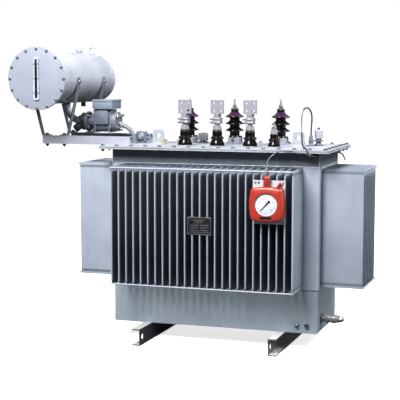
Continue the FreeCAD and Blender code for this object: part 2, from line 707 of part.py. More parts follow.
def relay_line():
    """Upper pipe, shut-off valve, gas relay, terminal box and lower pipe, from left to right."""
    valve_left = RELAY_LEFT - VALVE_LENGTH
    corner_x = valve_left - UPPER_BEND - FIT
    drum_foot = DRUM_Z - math.sqrt(DRUM_RADIUS ** 2 - max(0, abs(corner_x - DRUM_X) - UPPER_PIPE / 2) ** 2)
    route = [(corner_x, PIPE_Y, drum_foot - FIT), (corner_x, PIPE_Y, RELAY_Z), (valve_left, PIPE_Y, RELAY_Z)]
    save("relay_pipe_upper", bent_pipe(route, UPPER_BEND, UPPER_PIPE, UPPER_PIPE_WALL))
    save("relay_shutoff_valve", shutoff_valve(valve_left))
    save("gas_relay_body", gas_relay())
    box_z = RELAY_Z + RELAY_BODY_UP
    box = block_at((relay_middle() + TERMINAL_BOX_SHIFT, PIPE_Y, box_z + TERMINAL_BOX_HEIGHT / 2),
                   (TERMINAL_BOX_LENGTH, TERMINAL_BOX_DEPTH, TERMINAL_BOX_HEIGHT))
    save("relay_terminal_box", round_edges(box, TERMINAL_BOX_CORNER, Z_AXIS))
    foot_x = RELAY_RIGHT + LOWER_PIPE_REACH
    drop = LOWER_PIPE_REACH * math.tan(math.radians(LOWER_PIPE_SLOPE))
    route = [(RELAY_RIGHT, PIPE_Y, RELAY_Z), (foot_x, PIPE_Y, RELAY_Z - drop),
             (foot_x, PIPE_Y, COVER_TOP + PIPE_FOOT_THICK)]
    pipe = bent_pipe(route, LOWER_PIPE_BEND, LOWER_PIPE, LOWER_PIPE_WALL)
    lead = block_at((RELAY_RIGHT - LOWER_PIPE, PIPE_Y, RELAY_Z), [2 * LOWER_PIPE] * 3)
    start = (RELAY_RIGHT, PIPE_Y, RELAY_Z)
    flange = rod(RELAY_FLANGE_RADIUS - FLANGE_STEP, RELAY_FLANGE_THICK, start, X_AXIS)
    flange = flange.cut(rod(LOWER_PIPE / 2 - LOWER_PIPE_WALL, RELAY_FLANGE_THICK, start, X_AXIS))
    foot = ring(PIPE_FOOT_RADIUS, LOWER_PIPE / 2 - LOWER_PIPE_WALL, PIPE_FOOT_THICK,
                (foot_x, PIPE_Y, COVER_TOP))
    save("relay_pipe_lower", fuse(pipe.cut(lead), flange, foot))
    save("relay_cocks", *relay_cocks())


def relay_middle():
    """Where the relay's body and terminal box are centred along the line."""
    return (RELAY_LEFT + RELAY_RIGHT) / 2 + RELAY_BODY_SHIFT


def shutoff_valve(left):
    """A wafer valve between the pipe and the relay, with its knob down to the front."""
    disc = rod(VALVE_RADIUS, VALVE_LENGTH, (left, PIPE_Y, RELAY_Z), X_AXIS)
    disc = disc.makeChamfer(VALVE_CHAMFER, [e for e in disc.Edges if e.Curve.TypeId == "Part::GeomCircle"])
    centre = V(left + VALVE_LENGTH / 2, PIPE_Y, RELAY_Z)
    offset = V(*KNOB_OFFSET)
    out = V(*KNOB_OFFSET).normalize()
    knob = rod(KNOB_RADIUS, KNOB_LENGTH, centre + offset - out * (KNOB_LENGTH / 2), out)
    stem = rod(KNOB_STEM, offset.Length, centre, out)
    pipe_way = rod(UPPER_PIPE / 2 + FIT, VALVE_RADIUS * 2, (left, PIPE_Y, RELAY_Z), -X_AXIS)
    return fuse(disc, stem, knob).cut(pipe_way)


def gas_relay():
    """The cast relay body with its flanges, rounded belly and raised sight-glass box."""
    middle = relay_middle()
    half = RELAY_BODY_LENGTH / 2
    body = block(middle - half, middle + half, PIPE_Y - RELAY_BODY_DEPTH / 2,
                 PIPE_Y + RELAY_BODY_DEPTH / 2, RELAY_Z - RELAY_BODY_DOWN, RELAY_Z + RELAY_BODY_UP)
    belly = [e for e in body.Edges if e.BoundBox.ZMax < RELAY_Z and e.BoundBox.YLength < 1]
    belly += [e for e in body.Edges if e.BoundBox.ZMax < RELAY_Z and e.BoundBox.XLength < 1]
    body = body.makeFillet(RELAY_BODY_ROUND, belly)
    neck = rod(RELAY_NECK_RADIUS, RELAY_RIGHT - RELAY_LEFT, (RELAY_LEFT, PIPE_Y, RELAY_Z), X_AXIS)
    flanges = [rod(RELAY_FLANGE_RADIUS, RELAY_FLANGE_THICK, (x, PIPE_Y, RELAY_Z), X_AXIS)
               for x in (RELAY_LEFT, RELAY_RIGHT - RELAY_FLANGE_THICK)]
    front = PIPE_Y - RELAY_BODY_DEPTH / 2
    sight = block(middle - SIGHT_BOX_WIDTH / 2, middle + SIGHT_BOX_WIDTH / 2, front - SIGHT_BOX_DEPTH,
                  front + 1, RELAY_Z + RELAY_BODY_UP - SIGHT_BOX_HEIGHT, RELAY_Z + RELAY_BODY_UP)
    sight = round_edges(sight, SIGHT_BOX_CORNER, Y_AXIS)
    return fuse(body, neck, *flanges, sight)


def relay_cocks():
    """A test lever and a small drain cock on the face of the lower pipe's flange."""
    face = RELAY_RIGHT + RELAY_FLANGE_THICK
    y = PIPE_Y - COCK_OFFSET
    lever = block(face, face + LEVER_LENGTH, y - LEVER_THICK / 2, y + LEVER_THICK / 2,
                  RELAY_Z + LEVER_RISE - LEVER_HEIGHT / 2, RELAY_Z + LEVER_RISE + LEVER_HEIGHT / 2)
    stub = rod(COCK_STUB_RADIUS, COCK_REACH, (face, y, RELAY_Z - COCK_DROP), X_AXIS)
    barrel = rod(COCK_RADIUS, COCK_HEIGHT, (face + COCK_REACH, y, RELAY_Z - COCK_DROP - COCK_HEIGHT / 2))
    return lever, fuse(stub, barrel)


def hv_bushings():
    """Three high-voltage bushings: porcelain, clamping turret, and stud with nuts."""
    turrets, terminals = [], []
    seat = COVER_TOP + HV_SEAT
    for i in range(3):
        x = HV_MIDDLE + (i - 1) * HV_PITCH
        save("hv_bushing_%d" % (i + 1), hv_porcelain((x, HV_Y, seat)))
        turrets.append(hv_turret(x))
        terminals.append(hv_terminal((x, HV_Y, seat + HV_HEIGHT - HV_SEAT)))
    save("hv_turrets", *turrets)
    save("hv_terminals", *terminals)


def hv_porcelain(centre):
    """A porcelain column with three sloping sheds."""
    top = HV_HEIGHT - HV_SEAT
    profile = [(0, 0), (HV_FOOT, 0), (HV_CORE, 6)]
    for level in HV_SHED_LEVELS:
        profile += [(HV_CORE, level - 8), (HV_SHED - 6, level - 5), (HV_SHED, level),
                    (HV_SHED - 2, level + 4), (HV_CORE, level + HV_SHED_SLOPE)]
    profile += [(HV_NECK, top - HV_NECK_HEIGHT), (HV_NECK, top), (0, top)]
    return revolve(profile, centre)


def hv_turret(x):
    """A low turret on the cover with three claws that hold the porcelain's foot."""
    base = fuse(rod(TURRET_FLANGE_RADIUS, TURRET_FLANGE_THICK, (x, HV_Y, COVER_TOP)),
                rod(TURRET_RADIUS, HV_SEAT, (x, HV_Y, COVER_TOP)))
    claws = []
    for turn in CLAW_TURNS:
        claw = block(CLAW_INNER, CLAW_OUTER, -CLAW_WIDTH / 2, CLAW_WIDTH / 2,
                     TURRET_FLANGE_THICK, HV_SEAT + CLAW_LAP)
        claw = claw.cut(rod(HV_FOOT + FIT, 2 * CLAW_LAP, (0, 0, HV_SEAT)))
        claw.rotate(V(), Z_AXIS, turn)
        claws.append(claw.translated(V(x, HV_Y, COVER_TOP)))
    return fuse(base, *claws)


def hv_terminal(foot):
    """Cap, two nuts with a washer between them, and the free end of the stud."""
    base = V(*foot)
    washer_z = HV_CAP_HEIGHT + HV_NUT_HEIGHT
    return fuse(rod(HV_CAP_RADIUS, HV_CAP_HEIGHT, base),
                hexagon(HV_NUT, HV_NUT_HEIGHT, base + V(0, 0, HV_CAP_HEIGHT)),
                rod(HV_WASHER_RADIUS, HV_WASHER_THICK, base + V(0, 0, washer_z)),
                hexagon(HV_NUT, HV_NUT_HEIGHT, base + V(0, 0, washer_z + HV_WASHER_THICK)),
                rod(HV_STUD / 2, HV_STUD_LENGTH, base))


def hexagon(across, height, base):
    """A hexagonal prism across flats, standing on its base point."""
    radius = across / math.sqrt(3)
    turns = [math.radians(60 * i) for i in range(7)]
    points = [V(*base) + V(radius * math.cos(t), radius * math.sin(t), 0) for t in turns]
    return Part.Face(Part.makePolygon(points)).extrude(V(0, 0, height))


def lv_bushings():
    """Three low-voltage bushings with flag terminals, and the smaller neutral one."""
    terminals, seats = [], []
    level = COVER_TOP + LV_SEAT
    for i in range(3):
        x = LV_FIRST + i * LV_PITCH
        seats.append(rod(LV_BELL + SEAT_LIP, LV_SEAT, (x, LV_Y, COVER_TOP)))
        save("lv_bushing_%d" % (i + 1),
             lv_porcelain((x, LV_Y, level), LV_BELL, LV_BELL_HEIGHT, LV_SHED, LV_CORE, LV_HEIGHT))
        terminals.append(flag_terminal((x, LV_Y, level + LV_HEIGHT)))
    seats.append(rod(NEUTRAL_BELL + SEAT_LIP, LV_SEAT, (NEUTRAL_X, LV_Y, COVER_TOP)))
    save("lv_neutral_bushing",
         lv_porcelain((NEUTRAL_X, LV_Y, level), NEUTRAL_BELL, NEUTRAL_BELL_HEIGHT, NEUTRAL_SHED,
                      NEUTRAL_CORE, NEUTRAL_HEIGHT))
    terminals.append(neutral_terminal((NEUTRAL_X, LV_Y, level + NEUTRAL_HEIGHT)))
    save("lv_terminals", *terminals)
    save("lv_seat_rings", *seats)


def lv_porcelain(centre, bell, bell_height, shed, core, height):
    """A squat porcelain bell with one shed and a plain upper barrel."""
    profile = [(0, 0), (bell, 0), (bell, 5), (core + 3, bell_height - 3), (shed, bell_height),
               (shed, bell_height + 7), (core, bell_height + 13), (core, height - 2),
               (core - 2, height), (0, height)]
    return revolve(profile, centre)


def flag_terminal(foot):
    """Metal cap, nut and clamp, and the flat flag with four holes."""
    base = V(*foot)
    cap = rod(LV_CAP_RADIUS, LV_CAP_HEIGHT, base)
    nut = hexagon(LV_NUT, LV_NUT_HEIGHT, base + V(0, 0, LV_CAP_HEIGHT))
    stem = rod(LV_STEM_RADIUS, LV_FLAG_RISE, base)
    clamp = block_at(base + V(0, 0, LV_CLAMP_RISE), LV_CLAMP)
    x, y, flag_foot = base.x, base.y - LV_FLAG_THICK / 2, base.z + LV_FLAG_RISE
    half = LV_FLAG / 2
    flag = block(x - half, x + half, y, y + LV_FLAG_THICK, flag_foot, flag_foot + LV_FLAG)
    neck = block(x - LV_NECK_WIDTH / 2, x + LV_NECK_WIDTH / 2, y, y + LV_FLAG_THICK,
                 base.z + LV_CLAMP_RISE, flag_foot + 1)
    holes = [rod(LV_PALM_HOLE / 2, LV_FLAG_THICK + 2,
                 (x + side * LV_PALM_PITCH / 2, y - 1, flag_foot + half + up * LV_PALM_PITCH / 2), Y_AXIS)
             for side in (-1, 1) for up in (-1, 1)]
    return fuse(cap, nut, stem, clamp, neck, flag).cut(holes)


def neutral_terminal(foot):
    """Cap, nut, washer and the stud of the neutral bushing."""
    base = V(*foot)
    washer_z = 2 * NEUTRAL_NUT_HEIGHT
    return fuse(rod(NEUTRAL_CAP_RADIUS, NEUTRAL_NUT_HEIGHT, base),
                hexagon(NEUTRAL_NUT, NEUTRAL_NUT_HEIGHT, base + V(0, 0, NEUTRAL_NUT_HEIGHT)),
                rod(NEUTRAL_WASHER_RADIUS, NEUTRAL_WASHER_THICK, base + V(0, 0, washer_z)),
                rod(NEUTRAL_STUD / 2, NEUTRAL_STUD_LENGTH, base))


def cover_fittings():
    """Tap changer, lifting lugs, pressure relief valve, thermometer pocket and filling valve."""
    save("tap_changer_handle", tap_changer())
    save("lifting_lugs", *[lifting_lug(LUG_MIDDLE + s * LUG_SPACING / 2) for s in (-1, 1)])
    save("pressure_relief_valve", relief_valve())
    base = V(POCKET_X, POCKET_Y, COVER_TOP)
    save("thermometer_pocket",
         fuse(rod(POCKET_FLANGE_RADIUS, POCKET_FLANGE_THICK, base), rod(POCKET_RADIUS, POCKET_HEIGHT, base),
              hexagon(POCKET_NUT, POCKET_NUT_HEIGHT, base + V(0, 0, POCKET_NUT_RISE))))
    save("filling_valve", filling_valve())


def tap_changer():
    """A ribbed knob on a flanged foot."""
    base = V(TAP_X, TAP_Y, COVER_TOP)
    foot = rod(TAP_RADIUS, TAP_FOOT_THICK, base)
    stem = rod(TAP_STEM_RADIUS, TAP_STEM_HEIGHT + 1, base)
    knob = rod(TAP_RADIUS - TAP_RIB_PROUD, TAP_HEIGHT - TAP_STEM_HEIGHT, base + V(0, 0, TAP_STEM_HEIGHT))
    ribs = []
    for i in range(TAP_RIBS):
        rib = block(TAP_RADIUS - 2 * TAP_RIB, TAP_RADIUS, -TAP_RIB / 2, TAP_RIB / 2,
                    TAP_STEM_HEIGHT, TAP_HEIGHT - TAP_RIB_PROUD)
        rib.rotate(V(), Z_AXIS, 360 / TAP_RIBS * i)
        ribs.append(rib.translated(base))
    return fuse(foot, stem, knob, *ribs)


def lifting_lug(x):
    """An upright plate with an eye, on a pad that is welded to the cover."""
    base = COVER_TOP + LUG_PAD
    pad = block_at((x, 0, COVER_TOP + LUG_PAD / 2), (LUG_WIDTH + 2 * LUG_PAD_EDGE, LUG_PAD_DEPTH, LUG_PAD))
    plate = block_at((x, 0, base + (LUG_HEIGHT - LUG_PAD) / 2), (LUG_WIDTH, LUG_THICK, LUG_HEIGHT - LUG_PAD))
    top = [e for e in plate.Edges if e.BoundBox.XLength < 1 and e.BoundBox.ZLength < 1
           and e.BoundBox.ZMin > base]
    plate = plate.makeFillet(LUG_ROUND, top)
    eye = rod(LUG_HOLE / 2, LUG_THICK + 2, (x, -LUG_THICK / 2 - 1, COVER_TOP + LUG_HOLE_RISE), Y_AXIS)
    return fuse(pad, plate).cut(eye)


def stacked(levels, start, axis):
    """Round parts on one axis, from (radius, lower end, upper end) of each."""
    return [rod(radius, high - low, V(*start) + axis * low, axis) for radius, low, high in levels]


def relief_valve():
    """A spring-loaded relief valve: flange, neck, wide disc, can and top knob."""
    return fuse(*stacked(RELIEF_LEVELS, (RELIEF_X, RELIEF_Y, COVER_TOP), Z_AXIS))


def filling_valve():
    """A square valve body on a foot, its round cap facing the front and a neck beside it."""
    x, y, z = FILL_VALVE_X, FILL_VALVE_Y, COVER_TOP
    half, thick = FILL_VALVE_SIZE / 2, FILL_VALVE_THICK / 2
    low = z + FILL_VALVE_RISE
    body = round_edges(block(x - half, x + half, y - thick, y + thick, low, low + FILL_VALVE_SIZE),
                       FILL_VALVE_CORNER, Y_AXIS)
    cap = rod(FILL_CAP_RADIUS, FILL_CAP_PROUD + 1, (x, y - thick - FILL_CAP_PROUD, low + half), Y_AXIS)
    foot = block(x - FILL_FOOT_LENGTH / 2, x + FILL_FOOT_LENGTH / 2, y - FILL_NECK / 2, y + FILL_NECK / 2,
                 z, low + FILL_VALVE_CORNER)
    neck = block(x + half - FILL_VALVE_RISE, x + half + FILL_NECK_REACH, y - FILL_NECK / 2, y + FILL_NECK / 2,
                 z, z + FILL_NECK_HEIGHT)
    return fuse(body, cap, foot, neck)


def thermometer():
    """The dial thermometer's case, its bracket on the fin tips, and its two lines."""
    back = FIN_FACE - BRACKET_THICK
    bracket = block_at((BRACKET_X, FIN_FACE - BRACKET_THICK / 2, BRACKET_Z),
                       (BRACKET_WIDTH, BRACKET_THICK, BRACKET_HEIGHT))
    save("thermometer_bracket", round_edges(bracket, PLATE_CORNER, Y_AXIS))
    case = block_at((CASE_X, back - CASE_DEPTH / 2, CASE_Z), (CASE_SIZE, CASE_DEPTH, CASE_SIZE))
    case = round_edges(case, CASE_CORNER, Y_AXIS)
    front = back - CASE_DEPTH
    rim = [e for e in case.Edges if e.BoundBox.YMax < front + 1]
    case = case.makeFillet(CASE_RIM, rim)
    dial = rod(DIAL_RADIUS, DIAL_DEPTH, (CASE_X, front, CASE_Z), Y_AXIS)
    middle = back - CASE_DEPTH / 2
    neck = rod(NECK_RADIUS, NECK_LENGTH + NECK_LAP,
               (CASE_X + NECK_SHIFT, middle, CASE_Z + CASE_SIZE / 2 - NECK_LAP))
    save("thermometer_case", fuse(case, neck).cut(dial))
    clip = block_at((CLIP_X, -PANEL_Y - CLIP_DEPTH / 2, CLIP_Z), (CLIP_WIDTH, CLIP_DEPTH, CLIP_HEIGHT))
    save("line_clip", clip)
    cord("thermometer_line", CASE_LINE)
    cord("bulb_line", BULB_LINE)


def nameplate():
    """A plain rating plate on the fin tips."""
    plate = block_at((PLATE_X, FIN_FACE - PLATE_THICK / 2, PLATE_Z), (PLATE_WIDTH, PLATE_THICK, PLATE_HEIGHT))
    return round_edges(plate, PLATE_CORNER, Y_AXIS)


def drain_valve():
    """Wall flange, neck, valve body and hexagonal end cap, straight out of the right wall."""
    start = V(TANK_LENGTH / 2, DRAIN_Y, DRAIN_Z)
    end = DRAIN_LEVELS[-1][2]
    cap = hexagon(DRAIN_CAP, DRAIN_REACH - end, (0, 0, 0))
    cap.rotate(V(), Y_AXIS, 90)
    return fuse(*stacked(DRAIN_LEVELS, start, X_AXIS), cap.translated(start + X_AXIS * end))


def earth_terminals():
    """Two bosses on the front wall, each with a threaded hole for an earthing bolt."""
    bosses = []
    for x in (EARTH_X, EARTH_X + EARTH_SPACING):
        face = -TANK_DEPTH / 2 - EARTH_THICK
        boss = rod(EARTH_BOSS, EARTH_THICK, (x, face, EARTH_Z), Y_AXIS)
        bosses.append(boss.cut(rod(EARTH_THREAD / 2, EARTH_THICK, (x, face, EARTH_Z), Y_AXIS)))
    return bosses


def main():
    """Build every sub-part."""
    os.makedirs("parts", exist_ok=True)
    save("skid_left", skid(-1))
    save("skid_right", skid(1))
    floor_middle = (0, 0, SKID_HEIGHT + FLOOR_PLATE / 2)
    save("tank_floor", block_at(floor_middle, (TANK_LENGTH, TANK_DEPTH, FLOOR_PLATE)))
    save("lower_tank", lower_tank())
    save("core_and_windings", core_and_windings())
    cooling_walls()
    cover_stack()
    conservator()
    conservator_frame()
    relay_line()
    hv_bushings()
    lv_bushings()
    cover_fittings()
    thermometer()
    save("nameplate", nameplate())
    save("drain_valve", drain_valve())
    save("earth_terminals", *earth_terminals())


main()
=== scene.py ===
"""Oil-filled distribution transformer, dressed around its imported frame.

Lengths are in metres. X runs along the tank's long side, Y from the low-voltage side
to the high-voltage side, and Z up. Every piece lies where the frame's nodes say.
"""

import json
import logging
import math
from dataclasses import dataclass
from enum import Enum
from typing import Sequence

import bmesh
import bpy
from mathutils import Matrix, Vector

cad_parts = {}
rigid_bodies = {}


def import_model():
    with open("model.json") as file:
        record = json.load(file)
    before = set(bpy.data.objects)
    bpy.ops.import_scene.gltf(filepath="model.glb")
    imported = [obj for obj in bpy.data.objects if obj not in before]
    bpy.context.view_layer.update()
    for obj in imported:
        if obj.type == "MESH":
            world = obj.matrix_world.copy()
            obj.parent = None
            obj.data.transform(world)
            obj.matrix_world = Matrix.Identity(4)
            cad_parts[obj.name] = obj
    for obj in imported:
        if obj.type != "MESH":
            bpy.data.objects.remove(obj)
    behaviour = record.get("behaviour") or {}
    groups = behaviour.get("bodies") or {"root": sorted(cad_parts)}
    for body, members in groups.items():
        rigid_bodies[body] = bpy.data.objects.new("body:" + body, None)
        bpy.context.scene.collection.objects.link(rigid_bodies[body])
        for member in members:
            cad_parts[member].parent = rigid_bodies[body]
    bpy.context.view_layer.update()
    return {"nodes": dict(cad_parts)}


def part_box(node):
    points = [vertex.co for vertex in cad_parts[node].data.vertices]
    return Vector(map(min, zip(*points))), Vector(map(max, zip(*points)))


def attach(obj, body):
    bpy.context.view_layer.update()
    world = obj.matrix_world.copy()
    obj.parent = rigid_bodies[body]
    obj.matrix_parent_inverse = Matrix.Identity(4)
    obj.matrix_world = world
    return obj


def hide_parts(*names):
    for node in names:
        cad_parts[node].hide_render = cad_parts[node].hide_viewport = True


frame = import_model()
LOG = logging.getLogger("transformer")
ROOT = "root"
# Colour of dust, which on the skids' tops also serves as painted light.
DUST = (0.62, 0.60, 0.56)
Triple = tuple[float, float, float]
BMesh = bmesh.types.BMesh
Socket = bpy.types.NodeSocket


class Slot(Enum):
    """Material slots of the record."""

    TANK = "tank_paint"
    SKID = "dark_steel"
    GASKET = "gasket"
    FRAME = "gauge_frame"
    IRON = "cast_iron"
    RELAY = "relay_casting"
    PORCELAIN = "porcelain"
    PLATED = "plated_metal"
    RED = "red_case"
    PLATE = "black_plate"
    SHEATH = "cable_sheath"
    CORE = "core_steel"


class Axis(Enum):
    """Directions that a turned or extruded shape can point."""

    X = (1.0, 0.0, 0.0)
    Y = (0.0, 1.0, 0.0)
    Z = (0.0, 0.0, 1.0)
    LEFT = (-1.0, 0.0, 0.0)
    FRONT = (0.0, -1.0, 0.0)
    DOWN = (0.0, 0.0, -1.0)


class ShaderNodes:
    """Adds and links the nodes of one shader tree."""

    def __init__(self, tree: bpy.types.NodeTree) -> None:
        """Keep the tree that the calls fill."""
        self.tree = tree

    def add(self, kind: str, inputs: dict[str, object] | None = None, **settings: object) -> bpy.types.Node:
        """Add one node.

        Args:
            kind: Shader node type, without its common prefix.
            inputs: Values or output sockets, by input name.
            settings: Attributes of the node.

        Returns:
            The new node.
        """
        node = self.tree.nodes.new("ShaderNode" + kind)
        for name, value in settings.items():
            setattr(node, name, value)
        for name, value in (inputs or {}).items():
            self.feed(node.inputs[name], value)
        return node

    def feed(self, socket: Socket, value: object) -> None:
        """Link an output socket to an input, or set the input's own value."""
        if isinstance(value, bpy.types.NodeSocket):
            self.tree.links.new(value, socket)
        elif isinstance(value, tuple) and len(value) == 3 and socket.type == "RGBA":
            socket.default_value = (*value, 1.0)
        else:
            socket.default_value = value

    def math(self, operation: str, first: object, second: object = 0.5, clamp: bool = False) -> Socket:
        """Add a math node and return its output."""
        node = self.tree.nodes.new("ShaderNodeMath")
        node.operation, node.use_clamp = operation, clamp
        self.feed(node.inputs[0], first)
        self.feed(node.inputs[1], second)
        return node.outputs[0]

    def multiply(self, first: object, second: object) -> Socket:
        """Multiply two values and return the result."""
        return self.math("MULTIPLY", first, second)

    def remap(self, value: object, low: float, high: float, to_low: float = 0.0, to_high: float = 1.0) -> Socket:
        """Map a value from one range to another, clamped, and return the output."""
        inputs = {"Value": value, "From Min": low, "From Max": high, "To Min": to_low, "To Max": to_high}
        return self.add("MapRange", inputs).outputs["Result"]

    def mix(self, factor: object, first: object, second: object, blend: str = "MIX") -> Socket:
        """Mix two colours and return the result."""
        node = self.add("Mix", data_type="RGBA", blend_type=blend)
        self.feed(node.inputs[0], factor)
        self.feed(node.inputs[6], first)
        self.feed(node.inputs[7], second)
        return node.outputs[2]

    def object_point(self, scale: Triple = (1.0, 1.0, 1.0)) -> Socket:
        """Return the object coordinates, stretched by a scale along each axis."""
        place = self.add("TexCoord").outputs["Object"]
        return self.add("Mapping", {"Vector": place, "Scale": scale}).outputs["Vector"]

    def noise(self, scale: object, detail: float, point: Socket | None = None, **more: float) -> Socket:
        """Return the value of a noise texture, on the object coordinates unless a point is given."""
        place = point or self.object_point()
        return self.add("TexNoise", {"Vector": place, "Scale": scale, "Detail": detail, **more}).outputs["Fac"]

    def facing_up(self) -> Socket:
        """Return how far the surface faces up, from -1 to 1."""
        normal = self.add("NewGeometry").outputs["Normal"]
        return self.add("SeparateXYZ", {"Vector": normal}).outputs["Z"]

    def rounded(self, radius: object) -> Socket:
        """Return the normal with sharp edges rounded to a radius."""
        return self.add("Bevel", {"Radius": radius}, samples=4).outputs["Normal"]

    def bump(self, strength: object, distance: float, height: Socket, normal: Socket | None = None) -> Socket:
        """Return the normal of a surface that is raised by a height."""
        inputs = {"Strength": strength, "Distance": distance, "Height": height}
        if normal:
            inputs["Normal"] = normal
        return self.add("Bump", inputs).outputs["Normal"]


class Effects:
    """Node groups that several finishes share. Each is built once."""

    _made: dict[str, bpy.types.NodeTree] = {}

    @classmethod
    def _group(cls, name: str, inputs: dict[str, float], outputs: Sequence[str], kind: str = "NodeSocketFloat"
               ) -> tuple[bpy.types.NodeTree, ShaderNodes, bpy.types.Node, bpy.types.Node]:
        """Start a group with named sockets.

        Args:
            name: Name of the group.
            inputs: Default value of each input, by name. All are numbers.
            outputs: Names of the outputs.
            kind: Socket type of the outputs.

        Returns:
            The tree, its node helper, and its input and output nodes.
        """
        tree = bpy.data.node_groups.new(name, "ShaderNodeTree")
        for label, value in inputs.items():
            socket = tree.interface.new_socket(name=label, in_out="INPUT", socket_type="NodeSocketFloat")
            socket.default_value = value
        for label in outputs:
            tree.interface.new_socket(name=label, in_out="OUTPUT", socket_type=kind)
        start, end = tree.nodes.new("NodeGroupInput"), tree.nodes.new("NodeGroupOutput")
        return tree, ShaderNodes(tree), start, end

    @classmethod
    def get(cls, name: str) -> bpy.types.NodeTree:
        """Return a shared group by name, building it the first time."""
        if name not in cls._made:
            cls._made[name] = getattr(cls, "_build_" + name)()
        return cls._made[name]

    # Edge mask; the finishes lighten edges with it, partly as wear and partly as a painted highlight.
    @classmethod
    def _build_worn_and_lit_edges(cls) -> bpy.types.NodeTree:
        """Mask of the outward edges, broken up by noise."""
        tree, nodes, start, end = cls._group("worn_and_lit_edges", {"Width": 0.002, "Breaks": 60.0}, ["Mask"])
        bend = nodes.add("VectorMath", operation="DOT_PRODUCT")
        nodes.feed(bend.inputs[0], nodes.rounded(start.outputs["Width"]))
        nodes.feed(bend.inputs[1], nodes.add("NewGeometry").outputs["Normal"])
        turned = nodes.remap(bend.outputs["Value"], 0.99, 0.80)
        breaks = nodes.remap(nodes.noise(start.outputs["Breaks"], 5.0), 0.42, 0.62)
        nodes.feed(end.inputs["Mask"], nodes.multiply(turned, breaks))
        return tree

    @classmethod
    def _build_paint_skin(cls) -> bpy.types.NodeTree:
        """Normal of a sprayed film: softened edges, orange peel, and slow waves of the sheet."""
        inputs = {"Edge": 0.0015, "Peel": 0.12, "Peel Scale": 420.0, "Wave": 0.2}
        tree, nodes, start, end = cls._group("paint_skin", inputs, ["Normal"], "NodeSocketVector")
        given = start.outputs
        wave = nodes.noise(1.0, 2.0, nodes.object_point((9.0, 9.0, 2.2)))
        waved = nodes.bump(given["Wave"], 0.004, wave, nodes.rounded(given["Edge"]))
        peel = nodes.noise(given["Peel Scale"], 3.0)
        nodes.feed(end.inputs["Normal"], nodes.bump(given["Peel"], 0.0004, peel, waved))
        return tree

    @classmethod
    def _build_weather(cls) -> bpy.types.NodeTree:
        """Masks of dust, rain streaks and slow patches, and of the faces that look up and down."""
        outputs = ["Dust", "Streaks", "Patches", "Upper", "Under"]
        tree, nodes, start, end = cls._group("weather", {"Scale": 1.0}, outputs)
        up = nodes.facing_up()
        place = nodes.add("VectorMath", operation="SCALE")
        nodes.feed(place.inputs[0], nodes.object_point())
        nodes.feed(place.inputs["Scale"], start.outputs["Scale"])
        point = place.outputs[0]
        tall = nodes.add("VectorMath", operation="MULTIPLY")
        nodes.feed(tall.inputs[0], point)
        tall.inputs[1].default_value = (38.0, 38.0, 1.6)
        upper = nodes.remap(up, 0.55, 1.0)
        specks = nodes.remap(nodes.noise(55.0, 8.0, point, Roughness=0.7), 0.42, 0.68)
        streaks = nodes.remap(nodes.noise(1.0, 4.0, tall.outputs[0]), 0.52, 0.72)
        upright = nodes.remap(nodes.math("ABSOLUTE", up), 0.5, 0.1)
        masks = {"Upper": upper, "Under": nodes.remap(up, 0.05, -0.60), "Dust": nodes.multiply(upper, specks),
                 "Streaks": nodes.multiply(streaks, upright),
                 "Patches": nodes.remap(nodes.noise(4.5, 4.0, point), 0.35, 0.65)}
        for label, mask in masks.items():
            nodes.feed(end.inputs[label], mask)
        return tree


@dataclass(frozen=True)
class Finish:
    """One finish of the object. A kind of finish says how its colour is made."""

    name: str
    colour: Triple
    roughness: float
    slot: Slot

    def material(self) -> bpy.types.Material:
        """Return the finish's material, building it the first time."""
        known = bpy.data.materials.get(self.name)
        if known:
            return known
        made = bpy.data.materials.new(self.name)
        made.use_nodes = True
        made.diffuse_color = (*self.colour, 1.0)
        made.node_tree.nodes.clear()
        nodes = ShaderNodes(made.node_tree)
        shader = nodes.add("BsdfPrincipled")
        output = nodes.add("OutputMaterial")
        nodes.feed(output.inputs["Surface"], shader.outputs["BSDF"])
        self.dress(nodes, shader)
        return made

    def dress(self, nodes: ShaderNodes, shader: bpy.types.Node) -> None:
        """Set up the shader. Each kind of finish does this in its own way."""
        raise NotImplementedError

    def toned(self, factor: float, lift: float = 0.0) -> Triple:
        """Return the colour times a factor, lifted towards white."""
        return tuple(min(1.0, c * factor + lift) for c in self.colour)

    @staticmethod
    def fill(nodes: ShaderNodes, shader: bpy.types.Node, values: dict[str, object]) -> None:
        """Link or set several inputs of the shader, by name."""
        for label, value in values.items():
            nodes.feed(shader.inputs[label], value)

    @staticmethod
    def effect(nodes: ShaderNodes, name: str, values: dict[str, object] | None = None) -> dict[str, Socket]:
        """Place a shared effect in the material with its own values, and return its outputs."""
        group = nodes.add("Group", node_tree=Effects.get(name))
        Finish.fill(nodes, group, values or {})
        return group.outputs


